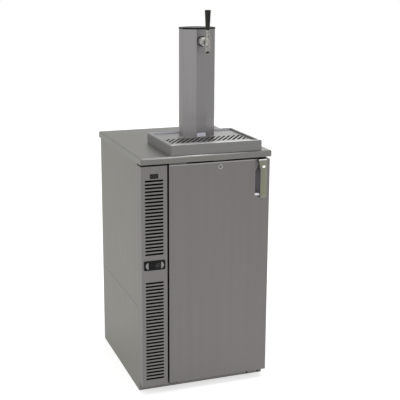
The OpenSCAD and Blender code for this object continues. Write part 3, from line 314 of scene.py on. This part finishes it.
MAT = {
    # Sheet metal
    "front": brushed("front_steel", FRONT, "z", 0.42),
    "fascia": brushed("fascia_steel", shade(FRONT, 1.03), "z", 0.42, seed=3.0),
    "side": brushed("side_steel", SIDE, "z", 0.42, seed=1.0),
    "side_low": brushed("side_low_steel", SIDE, "z", 0.42, seed=6.0),
    "top": brushed("top_steel", TOP, "x", 0.40, seed=2.0, edge=0.91),
    # paler steel along the worktop's front edge: painted highlight
    "top_edge_highlight": brushed("top_edge_highlight_steel", (0.36, 0.355, 0.35), "x", 0.30, 0.6, seed=16.0),
    # paler steel along the door's top edge: painted highlight
    "door_edge_highlight": brushed("door_edge_highlight_steel", (0.300, 0.292, 0.288), "x", 0.36, 0.6, seed=25.0),
    "strip": brushed("strip_steel", shade(FRONT, 1.02), "x", 0.42, seed=4.0),
    "frame": brushed("frame_steel", SIDE, "z", 0.40, seed=5.0),
    "liner": brushed("liner_steel", (0.50, 0.50, 0.49), "z", 0.34, 0.6, seed=7.0),
    "hinge": brushed("hinge_steel", (0.10, 0.098, 0.096), "x", 0.40, seed=14.0),
    "zinc": plated("zinc_sheet", (0.42, 0.43, 0.43)),
    "fins": brushed("fin_aluminium", (0.60, 0.61, 0.62), "z", 0.36, 0.5, seed=13.0),
    # Grip, recess and lock
    "grip": brushed("grip_steel", (0.245, 0.243, 0.215), "z", 0.40, 0.8, seed=12.0),
    "inlay": inlay_metal(),
    # near-white polished steels that paint highlights on the grip's top fold, its screw and the
    # nut's pegs
    "shine": polished("highlight_steel", (0.93, 0.93, 0.92), 0.18),
    "glint": polished("glint_steel", (0.99, 0.99, 0.97), 0.12),
    "cup": moulded("cup_plastic", (0.39, 0.375, 0.41), 0.55),
    # pale polish for the recess ledge: painted highlight
    "ledge": polished("ledge_highlight_steel", (0.72, 0.71, 0.75), 0.25),
    "hood": brushed("hood_steel", (0.27, 0.262, 0.26), "z", 0.42, metallic=0.55, seed=23.0),
    "lock": polished("lock_chrome", (0.30, 0.295, 0.29), 0.26),
    # Tray and column
    "tray": brushed("tray_steel", (0.222, 0.219, 0.216), "x", 0.38, metallic=0.30, seed=8.0,
                    edge=0.92),
    # pale steel on the tray's front rim: painted highlight
    "rim": brushed("rim_highlight_steel", (0.62, 0.61, 0.62), "x", 0.40, metallic=0.30, seed=24.0,
                   edge=0.95),
    # pale bluish steel inside the back rim and at the column's foot: painted reflection
    "bluish_reflection": brushed("bluish_reflection_steel", (0.84, 0.83, 0.93), "x", 0.45, 0.4, metallic=0.20,
                    seed=17.0),
    "grille": brushed("grille_steel", (0.190, 0.187, 0.182), "x", 0.34, metallic=0.75, seed=9.0,
                      edge=0.92),
    # the grille's front margin made paler: painted highlight
    "margin": brushed("margin_highlight_steel", (0.43, 0.425, 0.43), "x", 0.42, metallic=0.40, seed=15.0,
                      edge=0.95),
    # painted reflection: the column's foot is painted paler where it mirrors the tray
    "column": brushed("column_steel", (0.208, 0.202, 0.203), "z", 0.38, seed=10.0,
                      pale=(0.952, 1.003, 1.42)),
    "cap": moulded("cap_plastic", (0.009, 0.009, 0.009), 0.5, spec=0.15),
    "fitting": brushed("fitting_steel", (0.42, 0.42, 0.41), "x", 0.34, 0.6, seed=11.0),
    # Tap and beer line
    "chrome": mottled("tap_chrome", (0.275, 0.268, 0.250), 0.20),
    # near-black chrome on the tap's collar: painted dark reflection round its rim
    "collar": polished("collar_dark_reflection", (0.055, 0.055, 0.058), 0.30, edge=0.55),
    "nut": brushed("nut_chrome", (0.50, 0.495, 0.47), "y", 0.30, 0.4, metallic=0.40, seed=21.0),
    "lip": brushed("lip_chrome", (0.44, 0.435, 0.42), "y", 0.30, 0.4, metallic=0.30, seed=22.0),
    "lever": mottled("lever_steel", (0.36, 0.36, 0.355), 0.16),
    "handle": moulded("handle_plastic", (0.011, 0.012, 0.008), 0.34, 900.0, 0.00002, spec=0.25),
    "brass": polished("plain_brass", (0.60, 0.42, 0.17), 0.24),
    "line": moulded("line_plastic", (0.60, 0.62, 0.62), 0.25),
    "sleeve": porous("sleeve_foam", (0.05, 0.05, 0.055), 500.0, 0.8, 0.0003),
    # Fascia
    "black": moulded("black_plastic", (0.010, 0.010, 0.011), 0.5, spec=0.2),
    "rocker": moulded("rocker_plastic", (0.026, 0.025, 0.026), 0.42, spec=0.25),
    "case": moulded("controller_plastic", (0.009, 0.009, 0.010), 0.42, spec=0.12),
    "window": moulded("dark_window", (0.012, 0.012, 0.012), 0.35, depth=0.000004, spec=0.10),
    "digits": digit_paint(),
    "key": moulded("silver_key", (0.33, 0.33, 0.32), 0.32, depth=0.00001),
    # near-black mat behind the slots: painted shade
    "mat": porous("slot_shade_mat", (0.0035, 0.0035, 0.0035), 700.0, 0.95, 0.0002, spec=0.0),
    # Door seal, inside and machine bay
    "rubber": moulded("gasket_rubber", (0.045, 0.045, 0.047), 0.62, 900.0, 0.00006),
    "white": moulded("white_plastic", (0.62, 0.62, 0.60), 0.42),
    "foam": porous("rigid_foam", (0.72, 0.62, 0.38)),
    "board": board("core_board", (0.52, 0.40, 0.25)),
    # near-black that paints shade: the bay's partition seen through the slots, the backs of the
    # screw holes and the spout's bore
    "bay": moulded("bay_shade_black", (0.010, 0.010, 0.011), 0.7, 500.0, 0.00006, spec=0.15),
    "coil": moulded("coil_black", (0.012, 0.012, 0.013), 0.6, 600.0, 0.00006, spec=0.2),
    "machine": moulded("machine_black", (0.014, 0.014, 0.015), 0.40, 300.0, 0.00006, coat=0.2),
    "fan": moulded("fan_plastic", (0.03, 0.03, 0.032), 0.5),
    "cover": moulded("cover_paint", (0.62, 0.63, 0.63), 0.45, 500.0, 0.00008),
}

# Each CAD node's material
DRESS = {
    "base_pan": "strip", "front_frame": "frame", "side_panel_left_lower": "side_low",
    "side_panel_left_upper": "side", "side_panel_right": "side", "back_panel": "zinc",
    "roof_panel": "zinc", "bay_partition": "bay", "insulation": "foam", "inner_liner": "liner",
    "worktop": "top", "worktop_core": "board", "louvre_fascia": "fascia",
    "switch_bezel": "black", "switch_rocker": "rocker", "controller_case": "case",
    "controller_window": "window", "key_left": "key", "key_right": "key",
    "hinge_plate_top": "hinge", "hinge_plate_bottom": "hinge", "lock_keeper": "hinge",
    "door_skin": "front", "door_foam": "foam", "door_liner": "liner", "door_gasket": "rubber",
    "door_bushes": "white", "handle_cup": "cup", "door_handle": "grip", "lock_housing": "lock",
    "lock_plug": "strip", "drip_tray": "tray", "drip_grille": "grille", "tap_column": "column",
    "column_cap": "cap", "column_foot": "zinc", "column_screws": "fitting",
    "tap_collar": "collar", "shank_nut": "brass", "tap_shank": "chrome", "coupling_nut": "nut",
    "tap_body": "chrome", "tap_bonnet": "chrome", "tap_piston": "white", "tap_lever": "lever",
    "lever_ferrule": "chrome", "tap_handle": "handle", "beer_line": "line",
    "line_insulation": "sleeve", "line_duct": "white", "line_fitting": "brass",
    "compressor": "machine", "compressor_grommets": "rubber", "condenser_coil": "coil",
    "condenser_shroud": "machine", "condenser_fan": "fan", "evaporator_cover": "cover",
    "evaporator_coil": "fins", "evaporator_fan": "fan", "power_gland": "black",
}

for node_name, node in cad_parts.items():
    node.data.materials.clear()
    node.data.materials.append(MAT[DRESS[node_name]])


# ---- Finish pieces that the CAD leaves to the scene, in metres ----
def piece(name, bm, material, body):
    """Make a mesh an object that rides on a body, with one of the materials above."""
    mesh = bpy.data.meshes.new(name)
    bm.to_mesh(mesh)
    bm.free()
    mesh.materials.append(MAT[material])
    obj = bpy.data.objects.new(name, mesh)
    SCENE.collection.objects.link(obj)
    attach(obj, body)


def loft(rings, hoop=False):
    """A solid through rings of points: closed into a hoop, or else capped at both ends."""
    bm = bmesh.new()
    loops = [[bm.verts.new(point) for point in ring] for ring in rings]
    n = len(loops[0])
    following = loops[1:] + loops[:1] if hoop else loops[1:]
    for a, b in zip(loops, following):
        for k in range(n):
            bm.faces.new((a[k], a[(k + 1) % n], b[(k + 1) % n], b[k]))
    if not hoop:
        bm.faces.new(list(reversed(loops[0])))
        bm.faces.new(loops[-1])
    bmesh.ops.recalc_face_normals(bm, faces=bm.faces)
    return bm


def eased(bm, width):
    """Round off all the edges of a mesh."""
    bmesh.ops.bevel(bm, geom=list(bm.edges), offset=width, segments=2, profile=0.5,
                    affect="EDGES")
    return bm


def smooth(bm):
    for face in bm.faces:
        face.smooth = True
    return bm


def joined(bm, *others):
    """Add other meshes to the first."""
    for other in others:
        mesh = bpy.data.meshes.new("joined")
        other.to_mesh(mesh)
        other.free()
        bm.from_mesh(mesh)
        bpy.data.meshes.remove(mesh)
    return bm


def prism(outline, front, back):
    """A prism over an outline in X and Z."""
    return loft([[(x, y, z) for x, z in outline] for y in (front, back)])


def slab(low, high, ease=0.0003):
    """A thin plate with eased edges."""
    (x0, y0, z0), (x1, y1, z1) = low, high
    return eased(loft([[(x0, y0, z), (x1, y0, z), (x1, y1, z), (x0, y1, z)]
                       for z in (z0, z1)]), ease)


def upright_circle(x, y, z, r, n):
    """Points of a circle that faces the front."""
    turns = [2 * math.pi * k / n for k in range(n)]
    return [(x + r * math.cos(a), y, z + r * math.sin(a)) for a in turns]


def level_circle(x, y, z, r, n, slope=0.0):
    """Points over a circle round an upright axis; slope is how far it falls towards the back."""
    turns = [2 * math.pi * k / n for k in range(n)]
    return [(x + r * math.cos(a), y + r * math.sin(a), z - slope * r * math.sin(a))
            for a in turns]


def dome(x, y, z, r, height, squash=1.0):
    """A low round button facing the front, on a short skirt."""
    rings, n, skirt = 6, 28, 0.0004

    def ring(radius, depth):
        return [(px, depth, z + squash * (pz - z))
                for px, _, pz in upright_circle(x, y, z, radius, n)]

    rise = [math.pi / 2 * k / rings for k in range(rings)]
    bm = loft([ring(r, y + skirt)]
              + [ring(r * math.cos(a), y - height * math.sin(a)) for a in rise])
    # the last ring's flat cap gives way to a fan of faces up to the pole
    bm.faces.ensure_lookup_table()
    cap = bm.faces[-1]
    pole = bm.verts.new((x, y - height, z))
    corners = list(cap.verts)
    bm.faces.remove(cap)
    for k in range(n):
        bm.faces.new((corners[k], corners[(k + 1) % n], pole))
    bmesh.ops.recalc_face_normals(bm, faces=bm.faces)
    return smooth(bm)


def panel_digits():
    """Two plain seven-segment digits with a point, on the controller's window."""
    low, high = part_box("controller_window")
    front, back = low.y - 0.00025, low.y + 0.0002
    h, w, bar = 0.0125, 0.0068, 0.0011
    lean, pitch = 0.10, 0.0096
    half, gap = bar / 2, bar * 0.65
    segments = {"a": (0, h, w, h), "b": (w, h / 2, w, h), "c": (w, 0, w, h / 2),
                "d": (0, 0, w, 0), "e": (0, 0, 0, h / 2), "f": (0, h / 2, 0, h),
                "g": (0, h / 2, w, h / 2)}
    shapes = {"3": "abgcd", "0": "abcdef"}

    def stroke(left, foot, x0, z0, x1, z1):
        if z0 == z1:
            points = ((x0 + gap, z0 - half), (x1 - gap, z0 - half), (x1 - gap + half, z0),
                      (x1 - gap, z0 + half), (x0 + gap, z0 + half), (x0 + gap - half, z0))
        else:
            points = ((x0 - half, z0 + gap), (x0, z0 + gap - half), (x0 + half, z0 + gap),
                      (x0 + half, z1 - gap), (x0, z1 - gap + half), (x0 - half, z1 - gap))
        return prism([(left + x + lean * z, foot + z) for x, z in points], front, back)

    left = (low.x + high.x) / 2 + 0.0015
    foot = (low.z + high.z) / 2 - h / 2
    strokes = [stroke(left + i * pitch, foot, *segments[s])
               for i, digit in enumerate("30") for s in shapes[digit]]
    point = stroke(left + 0.0078, foot - 0.0004, -0.0002, 0, 0.0012, 0)
    piece("panel_digits", joined(*strokes, point), "digits", "cabinet")


def grip_details():
    """The inlay in the grip bar's face, a near-white strip over the fold at its top that paints
    its highlight, its screw, whose near-white polish paints a highlight, and the web that closes
    the side of its flare."""
    low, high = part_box("door_handle")
    bar_left = high.x - 0.024
    proud = 0.0004
    inlay_left, inlay_right = bar_left + 0.0015, high.x - 0.0040
    inlay_foot, inlay_top = low.z + 0.007, high.z - 0.0065
    outline = ((inlay_left, inlay_foot), (inlay_right, inlay_foot), (inlay_right, inlay_top),
               (low.x + 0.0012, inlay_top), (inlay_left, high.z - 0.040))
    piece("grip_inlay", prism(outline, low.y - proud, low.y + 0.0006), "inlay", "door")

    fold_left, fold_right = low.x + 0.0004, high.x - 0.0010
    face = slab((fold_left, low.y - proud, high.z - 0.0022),
                (fold_right, low.y + proud, high.z + 0.0003))
    top = slab((fold_left, low.y - 0.0002, high.z),
               (fold_right, high.y - 0.0010, high.z + 0.0004), 0.0001)
    piece("grip_top_highlight", joined(face, top), "shine", "door")

    piece("grip_screw", dome(high.x - 0.0112, low.y - proud, high.z - 0.0270, 0.0060, 0.0011,
                             squash=0.74), "glint", "door")

    sheet = 0.0012
    top_x, top_z = low.x + 0.0002, high.z - 0.0022
    foot_x, foot_z = bar_left + 0.0002, high.z - 0.0390
    outline = ((top_x, top_z), (top_x + sheet, top_z), (foot_x + sheet, foot_z),
               (foot_x, foot_z))
    piece("grip_web", eased(prism(outline, low.y + 0.0019, high.y - 0.0003), 0.0002), "grip",
          "door")


def recess_details():
    """The ledge at the bottom of the finger recess, a pale polished slope that paints its
    highlight, and the sloped plate at its top.
    """
    low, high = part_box("handle_cup")
    wall, play = 0.0012, 0.0003
    left, right = low.x + wall + play, high.x - wall - play

    length, turn = 0.0200, 0.0072  # the ledge's left end is set back by turn
    front, floor = low.y + 0.0005, low.z + wall
    profile = ((0.0010, 0.0), (0.0140, 0.0), (0.0140, 0.0070), (0.0040, 0.0076),
               (0.0016, 0.0040))
    # painted highlight: a pale slope tilted to show as the lit floor of the recess
    piece("recess_ledge_highlight", loft([[(x, front + y + back, floor + z) for y, z in profile]
                                for x, back in ((left, turn), (left + length, 0.0))]),
          "ledge", "door")

    top = high.z - wall - play
    foot = top - 0.0260
    slope, sheet = 0.28, 0.0010
    outline = ((left + 0.0075, top), (right, top), (right, foot), (left + 0.0004, foot),
               (left + 0.0052, foot + 0.0092))
    piece("recess_hood", loft([[(x, low.y + 0.0006 + slope * (top - z) + depth, z)
                                for x, z in outline] for depth in (0.0, sheet)]),
          "hood", "door")


def gasket_lips():
    """The bellows of the door seal: two soft lips running round the CAD ring."""
    low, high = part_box("door_gasket")
    r, n = 0.0017, 10
    y = low.y + 0.0016
    lips = []
    for inset in (0.0014, 0.0106):
        corners = ((low.x + inset, low.z + inset, -1, -1), (high.x - inset, low.z + inset, 1, -1),
                   (high.x - inset, high.z - inset, 1, 1), (low.x + inset, high.z - inset, -1, 1))
        sections = []
        for cx, cz, out_x, out_z in corners:
            turns = [2 * math.pi * k / n for k in range(n)]
            sections.append([(cx + out_x * r * math.cos(a), y + r * math.sin(a),
                              cz + out_z * r * math.cos(a)) for a in turns])
        lips.append(loft(sections, hoop=True))
    piece("gasket_lips", smooth(joined(*lips)), "rubber", "door")


def door_top_highlight():
    """A paler strip along the top edge of the door's face, as far as the grip: a painted highlight
    of its edge.
    """
    low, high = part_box("door_skin")
    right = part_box("door_handle")[0].x - 0.0015
    piece("door_top_highlight", slab((low.x + 0.0020, low.y - 0.0002, high.z - 0.0042),
                                (right, low.y + 0.0006, high.z - 0.0002)),
          "door_edge_highlight", "door")


def strip_hole_shades():
    """Dark backs of the two screw holes in the base strip."""
    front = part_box("base_pan")[0].y
    hole_z, n = 0.006, 24
    sections = ((0.00385, 0.0006), (0.0039, 0.0011), (0.0039, 0.0016))
    for i, hole_x in enumerate((0.235, 0.189)):
        plug = loft([upright_circle(hole_x, front + depth, hole_z, r, n)
                     for r, depth in sections])
        piece("strip_hole_shade_%d" % (i + 1), plug, "bay", "cabinet")


def tray_painted_highlights():
    """Painted reflections and highlights: a pale bluish strip inside the tray's back rim and a
    pale plate at the column's foot, both painted reflections, and pale strips on the top of the
    tray's front rim and along the grille's front margin, both painted highlights."""
    low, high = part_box("drip_tray")
    grille_low, grille_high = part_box("drip_grille")
    column_low, column_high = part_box("tap_column")
    rim, play, ease = 0.012, 0.0006, 0.0002
    piece("back_rim_reflection", slab(
        (low.x + rim + play, high.y - rim - 0.0008, grille_high.z + 0.0003),
        (high.x - rim - play, high.y - rim - 0.0001, high.z - play), ease),
        "bluish_reflection", "cabinet")

    middle, half = (column_low.x + column_high.x) / 2, 0.0175
    piece("column_foot_reflection", slab(
        (middle - half, column_low.y - 0.0006, column_low.z + 0.0010),
        (middle + half, column_low.y - 0.00005, column_low.z + 0.0150), ease),
        "bluish_reflection", "cabinet")

    inset = 0.0010
    piece("tray_front_rim_highlight", slab(
        (low.x + inset, low.y + inset, high.z - 0.0001),
        (high.x - inset, low.y + rim - inset, high.z + 0.0003), ease),
        "rim", "cabinet")

    inset, margin = 0.002, 0.050
    piece("grille_margin_highlight", slab(
        (grille_low.x + inset, grille_low.y + inset, grille_high.z - 0.0001),
        (grille_high.x - inset, grille_low.y + margin, grille_high.z + 0.0004), ease),
        "margin", "grille")


def worktop_edge_highlight():
    """A pale shell over the rounding of the worktop's front edge: a painted highlight along the
    edge.
    """
    low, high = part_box("worktop")
    radius, proud, sunk, inset = 0.0050, 0.0002, 0.0004, 0.006
    start, sweep, steps = -4.0, 98.0, 8  # degrees up from the front
    left, right = low.x + inset, high.x - inset
    inner, outer = radius - sunk, radius + proud
    sections = []
    for k in range(steps + 1):
        a = math.radians(start + sweep * k / steps)
        sections.append([(x, low.y + radius - r * math.cos(a), high.z - radius + r * math.sin(a))
                         for x, r in ((left, outer), (right, outer), (right, inner),
                                      (left, inner))])
    piece("worktop_edge_highlight", smooth(loft(sections)), "top_edge_highlight", "cabinet")


def slot_shade_mats():
    """Two black mats behind the fascia's slots, above and below the controller: painted shade for
    the dark inside seen through the slots.
    """
    low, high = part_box("louvre_fascia")
    case_low, case_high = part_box("controller_case")
    switch_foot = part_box("switch_bezel")[0].z
    inset, case_gap, thick = 0.0018, 0.008, 0.0030
    front = low.y + 0.0030
    spans = ((low.z + 0.010, case_low.z - case_gap), (case_high.z + case_gap, switch_foot - 0.001))
    for i, (foot, top) in enumerate(spans):
        piece("filter_mat_%d" % (i + 1), slab(
            (low.x + inset, front, foot), (high.x - inset, front + thick, top), 0.0006),
            "mat", "cabinet")


TAP_Y = -0.196  # the upright axis of the spout and the lever
SPOUT_MOUTH_Z = 1.251
SPOUT_SLOPE = math.tan(math.radians(38.0))
SHANK_Z = 1.288
LEVER_PIVOT_Z = 1.305


def spout_details(tap_x):
    """A dark lining inside the spout, painted shade, and the bright lip round its mouth."""
    n, r, wall, depth = 32, 0.0059, 0.0004, 0.016
    mouth = SPOUT_MOUTH_Z + 0.0005
    rings = ((r, mouth + depth, 0.0), (r, mouth, SPOUT_SLOPE),
             (r - wall, mouth, SPOUT_SLOPE), (r - wall, mouth + depth, 0.0))
    piece("spout_shade", loft([level_circle(tap_x, TAP_Y, z, radius, n, slope)
                               for radius, z, slope in rings]),
          "bay", "cabinet")

    lip_z, lift = SPOUT_MOUTH_Z - 0.00018, 0.0005
    rings = ((0.0062, lip_z), (0.0084, lip_z), (0.0084, lip_z + lift), (0.0062, lip_z + lift))
    piece("spout_lip", loft([level_circle(tap_x, TAP_Y, z, radius, n, SPOUT_SLOPE)
                             for radius, z in rings], hoop=True),
          "lip", "cabinet")


def shank_details(tap_x):
    """The bright edge of the collar's face, the sleeve round the shank's neck and two near-white
    pegs on the coupling nut's rim that paint its highlights."""
    n = 48
    low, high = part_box("tap_collar")
    rings = ((0.0147, -0.0004), (0.0151, -0.0004), (0.0153, -0.0002), (0.0153, 0.0001),
             (0.0147, 0.0001))
    piece("collar_face", loft([upright_circle(tap_x, low.y + y, (low.z + high.z) / 2, r, n)
                               for r, y in rings], hoop=True),
          "lip", "cabinet")

    nut_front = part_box("coupling_nut")[0].y
    rings = ((0.00956, -0.0002), (0.0122, -0.0002), (0.0120, -0.0030), (0.0106, -0.0060),
             (0.0102, -0.0215), (0.00956, -0.0215))
    piece("neck_sleeve", loft([upright_circle(tap_x, nut_front + y, SHANK_Z, r, n)
                               for r, y in rings], hoop=True),
          "nut", "cabinet")

    # painted highlights: near-white domes where the nut's rim catches the light
    pegs = [dome(x, nut_front + 0.0004, z, r, 0.0010)
            for x, z, r in ((0.0370, 1.3009, 0.0023), (0.0364, 1.2753, 0.0021))]
    piece("nut_highlight_pegs", joined(*pegs), "glint", "cabinet")


def lever_details(tap_x):
    """The turned sleeve at the foot of the lever's stem."""
    rings = ((0.00305, 0.0119), (0.0062, 0.0119), (0.0066, 0.0114), (0.0067, 0.0088),
             (0.00635, 0.0078), (0.0057, 0.0074), (0.0046, 0.0080), (0.00305, 0.0087))
    piece("lever_sleeve", loft([level_circle(tap_x, TAP_Y, LEVER_PIVOT_Z + h, r, 40)
                                for r, h in rings], hoop=True),
          "lever", "lever")


def tap_details():
    low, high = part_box("tap_collar")
    tap_x = (low.x + high.x) / 2
    spout_details(tap_x)
    shank_details(tap_x)
    lever_details(tap_x)


panel_digits()
grip_details()
recess_details()
gasket_lips()
door_top_highlight()
strip_hole_shades()
tray_painted_highlights()
worktop_edge_highlight()
slot_shade_mats()
tap_details()


# ---- Floor, world and lamps ----
FLOOR_SIZE, FLOOR_Z = 24.0, -0.0002
FLOOR_GREY, FLOOR_GLOW = 0.80, 0.60
WORLD_LIGHT, WORLD_SEEN = 0.55, 1.0

# name, place, target, side in metres, radiance
LAMPS = (
    ("soft_left", (-3.7, -3.9, 2.2), (0, 0, 0.8), 3.4, 0.75),
    ("soft_side", (-3.6, 3.8, 1.9), (0, 0, 0.6), 3.4, 0.34),
    ("soft_back", (3.6, 5.0, 2.2), (0, 0, 0.9), 3.0, 0.85),
    ("overhead", (0.3, -0.4, 4.6), (0, -0.2, 0.9), 2.4, 3.0),
)


def seen_by(nodes, links, rays):
    """A socket that is 1 for the kinds of ray named and 0 for all others."""
    path = nodes.new("ShaderNodeLightPath")
    level = path.outputs[rays[0]]
    for ray in rays[1:]:
        either = nodes.new("ShaderNodeMath")
        either.operation = "MAXIMUM"
        links.new(level, either.inputs[0])
        links.new(path.outputs[ray], either.inputs[1])
        level = either.outputs[0]
    return level


def make_floor():
    """A pale floor that keeps shadows and shows white to the camera and in reflections."""
    bpy.ops.mesh.primitive_plane_add(size=FLOOR_SIZE, location=(0, 0, FLOOR_Z))
    floor = bpy.context.object
    floor.name = "floor"
    mat = bpy.data.materials.new("pale_floor")
    mat.use_nodes = True
    nodes, links = mat.node_tree.nodes, mat.node_tree.links
    nodes.clear()
    out = nodes.new("ShaderNodeOutputMaterial")
    diffuse = nodes.new("ShaderNodeBsdfDiffuse")
    diffuse.inputs["Color"].default_value = (FLOOR_GREY, FLOOR_GREY, FLOOR_GREY, 1.0)
    glow = nodes.new("ShaderNodeEmission")
    level = nodes.new("ShaderNodeMath")
    level.operation = "MULTIPLY"
    level.inputs[1].default_value = FLOOR_GLOW
    links.new(seen_by(nodes, links, ("Is Camera Ray", "Is Glossy Ray")), level.inputs[0])
    links.new(level.outputs[0], glow.inputs["Strength"])
    both = nodes.new("ShaderNodeAddShader")
    links.new(diffuse.outputs[0], both.inputs[0])
    links.new(glow.outputs[0], both.inputs[1])
    links.new(both.outputs[0], out.inputs["Surface"])
    floor.data.materials.append(mat)


def make_world():
    """A dim even light that looks white to the camera, in reflections and through glass."""
    world = bpy.data.worlds.new("studio")
    SCENE.world = world
    world.use_nodes = True
    nodes, links = world.node_tree.nodes, world.node_tree.links
    nodes.clear()
    out = nodes.new("ShaderNodeOutputWorld")
    mix = nodes.new("ShaderNodeMixShader")
    rays = ("Is Camera Ray", "Is Glossy Ray", "Is Transmission Ray")
    links.new(seen_by(nodes, links, rays), mix.inputs[0])
    for socket, strength in ((mix.inputs[1], WORLD_LIGHT), (mix.inputs[2], WORLD_SEEN)):
        background = nodes.new("ShaderNodeBackground")
        background.inputs["Color"].default_value = (1.0, 1.0, 1.0, 1.0)
        background.inputs["Strength"].default_value = strength
        links.new(background.outputs[0], socket)
    links.new(mix.outputs[0], out.inputs["Surface"])


def lamp(name, place, target, side, radiance):
    data = bpy.data.lights.new(name, "AREA")
    data.shape = "RECTANGLE"
    data.size = data.size_y = side
    data.energy = radiance * math.pi * side * side
    obj = bpy.data.objects.new(name, data)
    obj.location = place
    obj.rotation_euler = (Vector(target) - Vector(place)).to_track_quat("-Z", "Y").to_euler()
    obj.visible_camera = False
    SCENE.collection.objects.link(obj)


make_floor()
make_world()
for row in LAMPS:
    lamp(*row)
